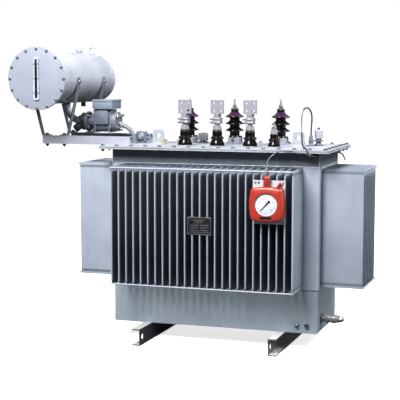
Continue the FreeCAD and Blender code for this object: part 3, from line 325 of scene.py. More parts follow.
@dataclass(frozen=True)
class Paint(Finish):
    """Sprayed satin paint over steel or a casting, with dust, streaks, and edges lightened partly by wear and partly
    by a painted highlight.

    One share lightens the faces that look up, partly with dust and partly with painted light, and the under share
    darkens those that look down with painted shade.
    """

    peel: float = 0.12
    peel_scale: float = 420.0
    wave: float = 0.2
    dirt: float = 0.25
    shine: float = 0.25
    edge: float = 0.0015
    top_dust_and_light: float = 0.0
    under: float = 0.0

    def dress(self, nodes: ShaderNodes, shader: bpy.types.Node) -> None:
        """Mix the weather masks, the edges lightened by wear and a painted highlight, the painted light on the tops
        and the painted shade underneath over the base colour.
        """
        weather = self.effect(nodes, "weather")
        worn_lit_mask = self.effect(nodes, "worn_and_lit_edges", {"Width": self.edge * 1.6})
        base = nodes.mix(weather["Patches"], self.toned(0.86), self.colour)
        base = nodes.mix(nodes.multiply(weather["Streaks"], self.dirt), base, self.toned(0.62))
        # Dust specks, and on the faces that look up a mix of dust and painted light.
        dust_and_top_light = nodes.multiply(weather["Dust"], self.dirt * 0.8)
        dust_and_top_light = nodes.math("MAXIMUM", dust_and_top_light, nodes.multiply(weather["Upper"], self.top_dust_and_light))
        base = nodes.mix(dust_and_top_light, base, DUST)
        # Lighter edges: partly wear, partly a painted highlight.
        base = nodes.mix(nodes.multiply(worn_lit_mask["Mask"], 0.7), base, self.toned(1.08, 0.015))
        # Darker faces that look down: painted shade.
        base = nodes.mix(nodes.multiply(weather["Under"], self.under), base, self.toned(0.30))
        rough = nodes.remap(weather["Patches"], 0.0, 1.0, self.roughness - 0.05, self.roughness + 0.05)
        rough = nodes.math("ADD", rough, nodes.multiply(weather["Dust"], 0.15), clamp=True)
        skin = {"Edge": self.edge, "Peel": self.peel, "Peel Scale": self.peel_scale, "Wave": self.wave}
        normal = self.effect(nodes, "paint_skin", skin)["Normal"]
        self.fill(nodes, shader, {"Base Color": base, "Roughness": rough, "Normal": normal,
                                  "Coat Weight": self.shine, "Coat Roughness": 0.22})


@dataclass(frozen=True)
class Metal(Finish):
    """Bare or plated metal with fine scratches and dull patches."""

    dull: float = 0.3
    scratch: float = 0.25
    metallic: float = 1.0

    def dress(self, nodes: ShaderNodes, shader: bpy.types.Node) -> None:
        """Scratch the surface and vary its colour and roughness."""
        lines = nodes.noise(1.0, 2.0, nodes.object_point((300.0, 300.0, 2400.0)))
        dull = nodes.remap(nodes.noise(90.0, 6.0), 0.40, 0.66)
        rough = nodes.remap(dull, 0.0, 1.0, self.roughness, min(1.0, self.roughness + 0.22))
        self.fill(nodes, shader, {
            "Base Color": nodes.mix(nodes.multiply(dull, self.dull), self.colour, self.toned(0.45)),
            "Roughness": rough,
            "Metallic": nodes.remap(dull, 0.0, 1.0, self.metallic, self.metallic * 0.8),
            "Normal": nodes.bump(self.scratch, 0.0002, lines, nodes.rounded(0.0008))})


@dataclass(frozen=True)
class Glaze(Finish):
    """Glass-smooth glaze with a painted purple sheen on its upper faces above a height, and pale rims that are partly
    thin glaze and partly a painted highlight.
    """

    # Painted sheen: purple tint on the upper faces.
    thin: Triple = (0.036, 0.009, 0.036)
    # Pale rims: partly thin glaze, partly a painted highlight.
    rim: Triple = (0.240, 0.220, 0.220)
    sheen_above: float = 1.312

    def dress(self, nodes: ShaderNodes, shader: bpy.types.Node) -> None:
        """Paint the sheen onto the upper faces, lighten the rims, and give the glaze its clear coat."""
        cloud = nodes.noise(30.0, 5.0)
        height = nodes.add("SeparateXYZ", {"Vector": nodes.object_point()}).outputs["Z"]
        high = nodes.remap(height, self.sheen_above, self.sheen_above + 0.006)
        # Painted sheen on the faces that look up, above the height.
        thin = nodes.multiply(nodes.remap(nodes.facing_up(), 0.30, 0.80), high)
        thin = nodes.multiply(thin, nodes.remap(cloud, 0.25, 0.60, 0.5, 1.0))
        # Pale rims: partly thin glaze, partly a painted highlight.
        thin_glaze_and_lit_rims = self.effect(nodes, "worn_and_lit_edges", {"Width": 0.0016, "Breaks": 40.0})["Mask"]
        tinted = nodes.mix(thin, self.colour, self.thin)
        self.fill(nodes, shader, {
            "Base Color": nodes.mix(nodes.multiply(thin_glaze_and_lit_rims, 0.25), tinted, self.rim),
            "Roughness": nodes.remap(cloud, 0.3, 0.7, self.roughness, self.roughness + 0.08),
            "Normal": nodes.bump(0.06, 0.001, nodes.noise(70.0, 2.0)),
            "Specular IOR Level": 0.12, "Coat Weight": 0.28, "Coat Roughness": 0.05})


@dataclass(frozen=True)
class Moulded(Finish):
    """Plastic or rubber with a fine moulded grain."""

    grain: float = 0.15
    coat: float = 0.0

    def dress(self, nodes: ShaderNodes, shader: bpy.types.Node) -> None:
        """Vary the colour a little, lighten the edges partly as wear and partly as a painted highlight, and add the
        grain.
        """
        cloud = nodes.noise(24.0, 5.0)
        base = nodes.mix(nodes.remap(cloud, 0.3, 0.7), self.toned(0.88), self.colour)
        worn_lit_mask = self.effect(nodes, "worn_and_lit_edges", {"Width": 0.0012, "Breaks": 90.0})
        self.fill(nodes, shader, {
            # Lighter edges: partly wear, partly a painted highlight.
            "Base Color": nodes.mix(nodes.multiply(worn_lit_mask["Mask"], 0.5), base, self.toned(1.2, 0.02)),
            "Roughness": nodes.remap(cloud, 0.3, 0.7, self.roughness - 0.04, self.roughness + 0.06),
            "Normal": nodes.bump(self.grain, 0.0003, nodes.noise(900.0, 2.0), nodes.rounded(0.0008)),
            "Coat Weight": self.coat, "Coat Roughness": 0.12})


TANK = Paint("tank blue-grey paint", (0.265, 0.314, 0.362), 0.40, Slot.TANK, shine=0.15)
# Darker copy of the tank paint on the collar: painted shade under the cover's overhang.
COLLAR_SHADE = Paint("collar painted shade", (0.104, 0.122, 0.141), 0.40, Slot.TANK)
FINS = Paint("fin blue-grey paint", (0.300, 0.335, 0.405), 0.42, Slot.TANK, wave=0.45, edge=0.001, shine=0.10)
# Dark paint on the faces between the fins: painted shade in the gaps.
FIN_GAP_SHADE = Paint("fin gap painted shade", (0.075, 0.090, 0.105), 0.50, Slot.TANK, dirt=0.5, shine=0.05, edge=0.001)
# Pale paint on the faces between the end walls' fins: painted light in the gaps.
END_GAP_LIGHT = Paint("end fin gap painted light", (0.420, 0.470, 0.550), 0.50, Slot.TANK, dirt=0.2, shine=0.05, edge=0.001)
# Darker copy of the fin paint on the right end wall's fins: painted shade.
END_FIN_SHADE = Paint("right end fins painted shade", (0.252, 0.281, 0.340), 0.42, Slot.TANK, wave=0.45, edge=0.001, shine=0.10)
# Darker paint on the outermost fins' side faces: painted shade.
FLANK_SHADE = Paint("fin flank painted shade", (0.186, 0.222, 0.260), 0.42, Slot.TANK, wave=0.45, edge=0.001, shine=0.10)
# Dark band where the fins are pressed flat: painted shade in the crease.
CREASE_SHADE = Paint("fin crease painted shade", (0.130, 0.152, 0.178), 0.46, Slot.TANK, dirt=0.4, shine=0.05, edge=0.001)
TURRET = Paint("turret grey paint", (0.215, 0.230, 0.272), 0.42, Slot.TANK, dirt=0.3, shine=0.05, edge=0.001)
DRUM = Paint("drum blue-grey paint", (0.262, 0.286, 0.345), 0.36, Slot.TANK, dirt=0.10)
# Much paler copy of the drum paint on the barrel: painted light from above, with painted shade on the faces that look
# down.
BARREL_LIGHT_SHADE = Paint("drum barrel painted light and shade", (0.590, 0.625, 0.710), 0.30, Slot.TANK, dirt=0.10, shine=0.3, under=1.0)
COVER = Paint("cover pale paint", (0.300, 0.322, 0.368), 0.52, Slot.TANK, dirt=0.18, shine=0.04)
RAILS = Paint("rail grey paint", (0.330, 0.345, 0.400), 0.40, Slot.TANK, dirt=0.25)
# The skids' upward faces are lightened, partly with dust and partly with painted light.
SKIDS = Paint("skid dark paint", (0.095, 0.100, 0.110), 0.50, Slot.SKID, dirt=0.5, peel=0.3, shine=0.1, top_dust_and_light=0.62)
CASTING = Paint("relay casting paint", (0.150, 0.180, 0.228), 0.38, Slot.RELAY, peel=0.5, peel_scale=260.0)
# Darker copy of the casting paint on the relay body: painted shade.
RELAY_BODY_SHADE = Paint("relay body painted shade", (0.102, 0.122, 0.155), 0.38, Slot.RELAY, peel=0.5, peel_scale=260.0)
BRACKET = Paint("pale bracket paint", (0.370, 0.385, 0.410), 0.42, Slot.FRAME, dirt=0.30, edge=0.0008)
IRON = Paint("dark valve paint", (0.030, 0.034, 0.038), 0.40, Slot.IRON, peel=0.5, peel_scale=300.0, dirt=0.15)
PIPE = Paint("pipe grey paint", (0.130, 0.142, 0.162), 0.46, Slot.TANK, dirt=0.3, shine=0.04)
RELIEF = Paint("relief valve blue", (0.060, 0.072, 0.120), 0.40, Slot.IRON, dirt=0.1, edge=0.0008)
# Paler copy of the drum paint on the gauge frame: painted highlight.
GAUGE_LIT = Paint("gauge frame painted highlight", (0.400, 0.425, 0.490), 0.36, Slot.FRAME, dirt=0.05, edge=0.0008)
GREY_IRON = Paint("grey valve paint", (0.120, 0.128, 0.140), 0.36, Slot.IRON, peel=0.4, peel_scale=300.0, dirt=0.08)
PLATED = Metal("tin plating", (0.225, 0.231, 0.262), 0.46, Slot.PLATED, dull=0.0, scratch=0.0, metallic=0.2)
ZINC = Metal("zinc bolts", (0.240, 0.248, 0.266), 0.34, Slot.PLATED, dull=0.5, metallic=0.8)
DARK_BOLT = Metal("dark bolts", (0.120, 0.120, 0.125), 0.42, Slot.IRON, dull=0.5, metallic=0.8)
BRASS = Metal("brass", (0.620, 0.560, 0.160), 0.34, Slot.PLATED, dull=0.4)
CORE = Metal("varnished core", (0.160, 0.150, 0.150), 0.50, Slot.CORE)
GLAZE = Glaze("brown glaze", (0.0035, 0.0018, 0.0020), 0.12, Slot.PORCELAIN)
RUBBER = Moulded("black rubber", (0.012, 0.012, 0.013), 0.62, Slot.GASKET)
RED = Moulded("red case", (0.335, 0.024, 0.012), 0.34, Slot.RED, coat=0.2)
DIAL_WHITE = Moulded("white dial", (0.560, 0.600, 0.650), 0.40, Slot.RED, grain=0.03)
DIAL_BLACK = Moulded("black marks", (0.010, 0.010, 0.012), 0.45, Slot.RED, grain=0.05)
BLACK_PLATE = Moulded("black enamel", (0.0042, 0.0042, 0.0049), 0.30, Slot.PLATE, grain=0.05)
SHEATH = Moulded("grey sheath", (0.095, 0.098, 0.106), 0.30, Slot.SHEATH, grain=0.1, coat=0.3)
RED_SLEEVE = Moulded("red-brown sleeve", (0.040, 0.010, 0.010), 0.45, Slot.SHEATH)
DARK_SLOT = Moulded("dark oil tube", (0.006, 0.006, 0.007), 0.18, Slot.FRAME, grain=0.0)


def aimed(point: Sequence[float], axis: Axis | Vector = Axis.Z, roll: float = 0.0) -> Matrix:
    """Placement that carries a shape's own +Z to an axis and its origin to a point.

    Args:
        point: Where the shape's origin goes.
        axis: Where its +Z points.
        roll: Turn about its own +Z first, in degrees.

    Returns:
        The placement.
    """
    way = Vector(axis.value) if isinstance(axis, Axis) else axis.normalized()
    turn = Vector((0.0, 0.0, 1.0)).rotation_difference(way).to_matrix().to_4x4()
    return Matrix.Translation(Vector(point)) @ turn @ spun(roll)


def moved(x: float, y: float, z: float) -> Matrix:
    """Placement that only shifts a shape."""
    return Matrix.Translation((x, y, z))


def spun(degrees: float) -> Matrix:
    """Placement that only turns a shape about +Z."""
    return Matrix.Rotation(math.radians(degrees), 4, "Z")


def ring_of(place: Matrix, count: int, radius: float, height: float = 0.0, start: float = 0.0) -> list[Matrix]:
    """Placements at equal steps round the +Z of another placement.

    Args:
        place: Placement at the ring's middle.
        count: Number of placements.
        radius: Radius of the ring.
        height: Distance of the ring along +Z.
        start: Turn of the first placement, in degrees.

    Returns:
        The placements.
    """
    return [place @ spun(start + 360.0 / count * i) @ moved(radius, 0.0, height) for i in range(count)]


def corners_of(centre: Sequence[float], across: float, along: float, axis: Axis, roll: float = 0.0) -> list[Matrix]:
    """Placements at the corners of a rectangle that faces up or to the front.

    Args:
        centre: Middle of the rectangle.
        across: Half its size along X.
        along: Half its size along Y, or along Z if it faces the front.
        axis: Where +Z of each placement points: up or to the front.
        roll: Turn of each placement about its own +Z, in degrees.

    Returns:
        The four placements.
    """
    side = Axis.Z if axis is Axis.FRONT else Axis.Y
    return [aimed(Vector(centre) + Vector((sx * across, 0.0, 0.0)) + Vector(side.value) * (sy * along), axis, roll)
            for sx in (-1, 1) for sy in (-1, 1)]


def profile_mm(*numbers: float) -> list[tuple[float, float]]:
    """Corners of a profile from a flat list of radius and height pairs, in millimetres."""
    metres = [number / 1000.0 for number in numbers]
    return list(zip(metres[::2], metres[1::2]))


class Stock:
    """Plain shapes made of bmesh operators. Each stands at the origin, along +Z."""

    @staticmethod
    def bevel(shape: BMesh, edges: Sequence[bmesh.types.BMEdge], width: float, steps: int) -> None:
        """Bevel chosen edges of a shape."""
        bmesh.ops.bevel(shape, geom=edges, offset=width, offset_type="OFFSET", segments=steps, profile=0.5,
                        affect="EDGES", material=-1, clamp_overlap=True)

    @staticmethod
    def thicken(shape: BMesh, faces: Sequence[bmesh.types.BMFace], thick: float) -> None:
        """Extrude flat faces upwards into a closed shape."""
        raised = bmesh.ops.extrude_face_region(shape, geom=faces)["geom"]
        bmesh.ops.translate(shape, vec=Vector((0.0, 0.0, thick)),
                            verts=[v for v in raised if isinstance(v, bmesh.types.BMVert)])
        bmesh.ops.recalc_face_normals(shape, faces=shape.faces)

    @classmethod
    def soften(cls, shape: BMesh, edge: float, steps: int = 2, sharper_than: float = 30.0) -> BMesh:
        """Bevel every edge that is sharper than an angle.

        Args:
            shape: Shape to change.
            edge: Width of the bevel. Nothing is done at 0.
            steps: Segments of the bevel.
            sharper_than: Smallest angle between two faces that is bevelled, in degrees.

        Returns:
            The same shape.
        """
        limit = math.radians(sharper_than)
        sharp = [e for e in shape.edges if len(e.link_faces) == 2 and e.calc_face_angle(0.0) > limit]
        if edge > 0.0 and sharp:
            cls.bevel(shape, sharp, edge, steps)
        return shape

    @classmethod
    def block(cls, size: Sequence[float], edge: float = 0.0, steps: int = 2) -> BMesh:
        """Box of a size, centred on the origin."""
        shape = bmesh.new()
        bmesh.ops.create_cube(shape, size=1.0)
        bmesh.ops.scale(shape, vec=Vector(size), verts=shape.verts)
        return cls.soften(shape, edge, steps)

    @classmethod
    def rod(cls, radius: float, length: float, edge: float = 0.0, sides: int = 40, steps: int = 2
            ) -> BMesh:
        """Round bar, standing on the origin."""
        shape = bmesh.new()
        bmesh.ops.create_cone(shape, cap_ends=True, cap_tris=False, segments=sides, radius1=radius,
                              radius2=radius, depth=length)
        bmesh.ops.translate(shape, vec=Vector((0.0, 0.0, length / 2)), verts=shape.verts)
        return cls.soften(shape, edge, steps, 50.0 if sides > 8 else 30.0)

    @classmethod
    def nut(cls, across: float, height: float) -> BMesh:
        """Hexagon nut, standing on the origin, with its corners taken off."""
        return cls.rod(across / math.sqrt(3.0), height, min(across, height) * 0.09, 6)

    @classmethod
    def turned(cls, profile: Sequence[tuple[float, float]], edge: float = 0.0, sides: int = 56,
               ring: bool = False) -> BMesh:
        """Spin a profile about +Z.

        Args:
            profile: Radius and height of each corner, from one end to the other.
            edge: Width of the bevel on the sharp rings.
            sides: Steps of the spin.
            ring: True if the profile closes on itself instead of meeting the axis.

        Returns:
            The closed shape.
        """
        shape = bmesh.new()
        corners = [shape.verts.new((radius, 0.0, height)) for radius, height in profile]
        pairs = list(zip(corners, corners[1:])) + ([(corners[-1], corners[0])] if ring else [])
        lines = [shape.edges.new(pair) for pair in pairs]
        bmesh.ops.spin(shape, geom=corners + lines, cent=(0.0, 0.0, 0.0), axis=(0.0, 0.0, 1.0), dvec=(0.0, 0.0, 0.0),
                       angle=2.0 * math.pi, steps=sides, use_merge=True, use_duplicate=False)
        bmesh.ops.remove_doubles(shape, verts=shape.verts, dist=1e-6)
        loose = [f for f in shape.faces if f.calc_area() < 1e-12]
        bmesh.ops.delete(shape, geom=loose, context="FACES_ONLY")
        bmesh.ops.recalc_face_normals(shape, faces=shape.faces)
        return cls.soften(shape, edge, 2, 25.0)

    @classmethod
    def washer(cls, outer: float, inner: float, height: float, edge: float = 0.0, sides: int = 32) -> BMesh:
        """Flat ring or short tube, standing on the origin."""
        return cls.turned([(inner, 0.0), (outer, 0.0), (outer, height), (inner, height)], edge, sides, ring=True)

    @classmethod
    def plate(cls, outline: Sequence[tuple[float, float]], thick: float, edge: float = 0.0, steps: int = 2) -> BMesh:
        """Extrude an outline in X and Y upwards from the origin's plane."""
        shape = bmesh.new()
        face = shape.faces.new([shape.verts.new((x, y, 0.0)) for x, y in outline])
        cls.thicken(shape, [face], thick)
        return cls.soften(shape, edge, steps)

    @classmethod
    def rounded_plate(cls, width: float, depth: float, thick: float, corner: float, edge: float = 0.0) -> BMesh:
        """Plate with rounded corners, centred in X and Y and standing on the origin."""
        shape = cls.block((width, depth, thick))
        bmesh.ops.translate(shape, vec=Vector((0.0, 0.0, thick / 2)), verts=shape.verts)
        cls.bevel(shape, [e for e in shape.edges if abs(e.verts[0].co.z - e.verts[1].co.z) > thick / 2], corner, 6)
        return cls.soften(shape, edge, 2, 45.0)

    @staticmethod
    def swept(path: Sequence[Vector], radii: Sequence[float], sides: int = 16) -> BMesh:
        """Carry a circle along a path, with a radius at each point, and close both ends.

        Args:
            path: Points of the middle line.
            radii: Radius at each point. One value serves all.
            sides: Corners of the circle.

        Returns:
            The closed tube.
        """
        radii = list(radii) * len(path) if len(radii) == 1 else list(radii)
        shape = bmesh.new()
        way = (path[1] - path[0]).normalized()
        first = Vector((0.0, 0.0, 1.0)).rotation_difference(way)
        ring = bmesh.ops.create_circle(shape, cap_ends=True, segments=sides, radius=1.0)["verts"]
        place = Matrix.Translation(path[0]) @ first.to_matrix().to_4x4() @ Matrix.Scale(radii[0], 4)
        bmesh.ops.transform(shape, matrix=place, verts=ring)
        face = shape.faces[:][0]
        for i in range(1, len(path)):
            ahead = path[min(i + 1, len(path) - 1)] - path[i - 1]
            turn = way.rotation_difference(ahead.normalized())
            way = ahead.normalized()
            raised = bmesh.ops.extrude_face_region(shape, geom=[face])["geom"]
            tip = next(g for g in raised if isinstance(g, bmesh.types.BMFace))
            if i > 1 and face.is_valid:
                bmesh.ops.delete(shape, geom=[face], context="FACES_ONLY")
            face = tip
            step = (Matrix.Translation(path[i]) @ turn.to_matrix().to_4x4()
                    @ Matrix.Scale(radii[i] / radii[i - 1], 4) @ Matrix.Translation(-path[i - 1]))
            bmesh.ops.transform(shape, matrix=step, verts=list(face.verts))
        bmesh.ops.recalc_face_normals(shape, faces=shape.faces)
        return shape

    @staticmethod
    def rounded_path(corners: Sequence[Triple], bend: float, steps: int = 8) -> list[Vector]:
        """Points of straight runs with a bend of one radius at each inner corner.

        Args:
            corners: Ends and corners of the runs.
            bend: Radius of the bends.
            steps: Points along each bend.

        Returns:
            The points in order.
        """
        spots = [Vector(c) for c in corners]
        path = [spots[0]]
        for before, at, after in zip(spots, spots[1:], spots[2:]):
            back, ahead = (before - at).normalized(), (after - at).normalized()
            half = (math.pi - back.angle(ahead)) / 2.0
            middle = at + (back + ahead).normalized() * (bend / math.cos(half))
            start = at + back * (bend * math.tan(half)) - middle
            axis = start.cross(at + ahead * (bend * math.tan(half)) - middle)
            path += [middle + Matrix.Rotation(2.0 * half * i / steps, 3, axis) @ start for i in range(steps + 1)]
        return path + [spots[-1]]


class Piece:
    """One visible piece. Shapes are added to it, each with one of its finishes, and then it is finished."""

    def __init__(self, name: str, *finishes: Finish) -> None:
        """Start an empty piece with its finishes in order."""
        self.name, self.finishes, self.shape = name, finishes, bmesh.new()

    def add(self, shape: BMesh, places: Matrix | Sequence[Matrix] = Matrix(), skin: int = 0) -> None:
        """Set copies of a shape into the piece.

        Args:
            shape: Shape to copy. It is used up.
            places: One placement or several.
            skin: Index of the finish.
        """
        for face in shape.faces:
            face.material_index = skin
        mesh = bpy.data.meshes.new("stock")
        shape.to_mesh(mesh)
        shape.free()
        for place in [places] if isinstance(places, Matrix) else places:
            copy = mesh.copy()
            copy.transform(place)
            self.shape.from_mesh(copy)
            bpy.data.meshes.remove(copy)
        bpy.data.meshes.remove(mesh)

    def finish(self, *replaced: str, smooth: float = 35.0) -> bpy.types.Object:
        """Make the piece's object, dress it and let it ride on the root.

        Args:
            replaced: Nodes of the frame that the piece stands for.
            smooth: Largest angle that is shaded smooth, in degrees.

        Returns:
            The object.
        """
        mesh = bpy.data.meshes.new(self.name)
        self.shape.to_mesh(mesh)
        self.shape.free()
        mesh.shade_smooth()
        mesh.set_sharp_from_angle(angle=math.radians(smooth))
        made = linked(self.name, mesh)
        for finish in self.finishes:
            mesh.materials.append(finish.material())
        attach(made, ROOT)
        if replaced:
            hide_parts(*replaced)
        LOG.info("%s: %d faces", self.name, len(mesh.polygons))
        return made


def linked(name: str, data: bpy.types.ID) -> bpy.types.Object:
    """Make an object of some data and put it into the scene."""
    made = bpy.data.objects.new(name, data)
    bpy.context.scene.collection.objects.link(made)
    return made


def dress(finish: Finish, *nodes: str) -> None:
    """Give a finish to nodes of the frame that keep their own mesh."""
    for node in nodes:
        materials = frame["nodes"][node].data.materials
        materials.clear()
        materials.append(finish.material())
        LOG.info("%s keeps its mesh", node)


def middle_of(node: str) -> Vector:
    """Centre of a node's box."""
    low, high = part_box(node)
    return (low + high) / 2


class Fasteners:
    """Bolts, nuts and weld beads that many pieces share."""

    RIPPLE = 0.012

    @staticmethod
    def bolt_head(piece: Piece, size: float, places: Sequence[Matrix], skin: int = 0, washer: bool = True) -> None:
        """Hexagon head with its washer, standing on each place.

        Args:
            piece: Piece to add to.
            size: Thread diameter. The head and washer follow from it.
            places: Placements, with +Z away from the face.
            skin: Index of the finish.
            washer: True to add the washer.
        """
        seat = size * 0.2 if washer else 0.0
        if washer:
            piece.add(Stock.rod(size * 1.05, seat, seat * 0.3, 20, 1), places, skin)
        piece.add(Stock.nut(size * 1.6, size * 0.62), [p @ moved(0, 0, seat) for p in places], skin)

    @staticmethod
    def bolt_end(piece: Piece, size: float, places: Sequence[Matrix], skin: int = 0, proud: float = 0.6) -> None:
        """Nut with the bolt's end standing out of it, on each place."""
        Fasteners.bolt_head(piece, size, places, skin)
        piece.add(Stock.rod(size / 2, size * (0.8 + proud), size * 0.08, 16, 1), places, skin)

    @staticmethod
    def weld(piece: Piece, start: Sequence[float], end: Sequence[float], width: float) -> None:
        """Rippled weld bead between two points.

        Args:
            piece: Piece to add to.
            start: First point of the seam.
            end: Last point of the seam.
            width: Width of the bead.
        """
        a, b = Vector(start), Vector(end)
        count = max(4, int((b - a).length / Fasteners.RIPPLE) * 2)
        path = [a.lerp(b, i / count) for i in range(count + 1)]
        radii = [width / 2 * (1.0 if i % 2 else 0.82) for i in range(count + 1)]
        piece.add(Stock.swept(path, radii, 8))

    @staticmethod
    def weld_square(piece: Piece, low: Sequence[float], high: Sequence[float], z: float, width: float) -> None:
        """Lay a bead round a level rectangle, from its low corner to its high one."""
        turns = [(low[0], low[1], z), (high[0], low[1], z), (high[0], high[1], z), (low[0], high[1], z)]
        for start, end in zip(turns, turns[1:] + turns[:1]):
            Fasteners.weld(piece, start, end, width)

    @staticmethod
    def weld_ring(piece: Piece, centre: Sequence[float], spoke: Vector, axis: str, width: float, count: int,
                  thin: float) -> None:
        """Lay a bead round a circle.

        Args:
            piece: Piece to add to.
            centre: Middle of the circle.
            spoke: From the middle to the first point.
            axis: Letter of the axis that the circle goes round.
            width: Width of the bead.
            count: Points of the circle.
            thin: Width between two ripples, as a share of the width.
        """
        steps = range(count + 1)
        ring = [Vector(centre) + Matrix.Rotation(math.radians(360.0 / count * i), 3, axis) @ spoke for i in steps]
        piece.add(Stock.swept(ring, [width / 2 * (1.0 if i % 2 else thin) for i in steps], 6))


@dataclass
class Studio:
    """Camera, pale floor and soft lights."""

    lens: float = 105.6
    place: Triple = (2.0859, -6.7016, 1.5906)
    tilt: float = 83.79
    heading: float = 18.55
    floor_white: Triple = (0.93, 0.93, 0.93)
    floor_bounce: Triple = (0.070, 0.076, 0.084)
    floor_glow: float = 0.75
    sky: Triple = (0.50, 0.52, 0.56)
    horizon: Triple = (0.06, 0.066, 0.075)

    def camera(self) -> None:
        """Set the camera that looks down on the low-voltage side from the right."""
        data = bpy.data.cameras.new("camera")
        data.lens, data.sensor_width = self.lens, 36.0
        made = linked("camera", data)
        made.location = self.place
        made.rotation_euler = (math.radians(self.tilt), 0.0, math.radians(self.heading))
        bpy.context.scene.camera = made

    def floor(self) -> None:
        """Lay the pale floor under the skids."""
        shape = bmesh.new()
        bmesh.ops.create_grid(shape, x_segments=2, y_segments=2, size=30.0)
        mesh = bpy.data.meshes.new("floor")
        shape.to_mesh(mesh)
        shape.free()
        finish = bpy.data.materials.new("floor white")
        finish.use_nodes = True
        nodes = ShaderNodes(finish.node_tree)
        shader = finish.node_tree.nodes["Principled BSDF"]
        seen = nodes.add("LightPath").outputs["Is Camera Ray"]
        Finish.fill(nodes, shader, {
            "Base Color": nodes.mix(seen, self.floor_bounce, self.floor_white), "Emission Color": (1.0, 1.0, 1.0),
            "Emission Strength": nodes.multiply(seen, self.floor_glow), "Roughness": 0.9, "Specular IOR Level": 0.1})
        mesh.materials.append(finish)
        made = linked("floor", mesh)

    def light(self, name: str, place: Triple, size: float, power: float, target: Triple = (-0.1, 0.0, 0.9)) -> None:
        """Hang one square soft light that points at a target."""
        data = bpy.data.lights.new(name, "AREA")
        data.shape, data.size, data.energy = "SQUARE", size, power
        way = Vector(target) - Vector(place)
        made = linked(name, data)
        made.matrix_world = Matrix.Translation(place) @ way.to_track_quat("-Z", "Y").to_matrix().to_4x4()

    def build(self) -> None:
        """Set up the whole studio."""
        self.camera()
        self.floor()
        self.light("key", (-0.7, -4.4, 5.2), 2.6, 930.0)
        self.light("right", (3.6, 0.4, 4.2), 1.8, 310.0)
        self.light("side", (5.2, 0.4, 0.9), 2.0, 45.0)
        self.world()

    def world(self) -> None:
        """Set a soft sky that is bright overhead, dim at the horizon, and white where it is seen."""
        world = bpy.data.worlds.new("studio")
        world.use_nodes = True
        nodes = ShaderNodes(world.node_tree)
        backdrop = world.node_tree.nodes["Background"]
        up = nodes.add("SeparateXYZ", {"Vector": nodes.add("TexCoord").outputs["Generated"]}).outputs["Z"]
        soft = nodes.mix(nodes.remap(up, 0.0, 0.9), self.horizon, self.sky)
        seen = nodes.add("LightPath").outputs["Is Camera Ray"]
        nodes.feed(backdrop.inputs["Color"], nodes.mix(seen, soft, (1.0, 1.0, 1.0)))
        backdrop.inputs["Strength"].default_value = 1.0
        bpy.context.scene.world = world
        bpy.context.scene.view_settings.view_transform = "Standard"


@dataclass
class RibbedLine:
    """A ribbed flexible line of the thermometer, fixed at both ends."""

    name: str
    node: str
    points: Sequence[Triple]
    length: float
    diameter: float = 0.007
    rib: float = 0.0030
    sleeve_thick: float = 0.0010
    sleeves_and_shade: Sequence[tuple[float, float, int]] = ()

    def route(self) -> list[Vector]:
        """Return points of the smooth curve that the control points give."""
        curve = bpy.data.curves.new(self.name, "CURVE")
        curve.dimensions = "3D"
        spline = curve.splines.new("NURBS")
        spline.points.add(len(self.points) - 1)
        for point, place in zip(spline.points, self.points):
            point.co = (*place, 1.0)
        spline.order_u, spline.use_endpoint_u, spline.resolution_u = 3, True, 24
        holder = bpy.data.objects.new(self.name, curve)
        mesh = bpy.data.meshes.new_from_object(holder)
        path = [v.co.copy() for v in mesh.vertices]
        bpy.data.objects.remove(holder)
        bpy.data.curves.remove(curve)
        bpy.data.meshes.remove(mesh)
        return path

    def even(self, path: Sequence[Vector], step: float) -> list[Vector]:
        """Return points of a path at equal steps along it."""
        total = sum((b - a).length for a, b in zip(path, path[1:]))
        count = max(2, round(total / step))
        wanted, spots, done, index = total / count, [path[0].copy()], 0.0, 0
        for i in range(1, count):
            while index < len(path) - 2 and done + (path[index + 1] - path[index]).length < i * wanted:
                done += (path[index + 1] - path[index]).length
                index += 1
            span = (path[index + 1] - path[index]).length
            spots.append(path[index].lerp(path[index + 1], (i * wanted - done) / span))
        return spots + [path[-1].copy()]

    def build(self) -> None:
        path = self.even(self.route(), self.rib / 2)
        piece = Piece(self.name, SHEATH, RED_SLEEVE, RUBBER)
        radii = [self.diameter / 2 * (1.0 if i % 2 else 0.86) for i in range(len(path))]
        piece.add(Stock.swept(path, radii, 12))
        last = len(path) - 1
        # The stretches are sleeves, except the pocket line's last one, which is painted shade.
        for start, end, skin in self.sleeves_and_shade:
            cover = path[round(start * last):round(end * last) + 1:2]
            piece.add(Stock.swept(cover, [self.diameter / 2 + self.sleeve_thick], 14), skin=skin)
        made = piece.finish(self.node, smooth=80.0)


@dataclass
class Carriage:
    """The two channel skids, with weld beads to the tank's floor."""

    weld_width: float = 0.007
    inset: float = 0.012

    def build(self) -> None:
        """Dress the skids and lay the beads along both sides of each."""
        dress(SKIDS, "skid_left", "skid_right")
        piece = Piece("skid_welds", SKIDS)
        tank_low, tank_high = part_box("tank_floor")
        for node in ("skid_left", "skid_right"):
            low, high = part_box(node)
            for side, x in ((-1, low.x), (1, high.x)):
                spot, z = x - side * self.weld_width * 0.1, high.z - 0.001
                Fasteners.weld(piece, (spot, tank_low.y + self.inset, z), (spot, tank_high.y - self.inset, z),
                               self.weld_width)
        piece.finish()


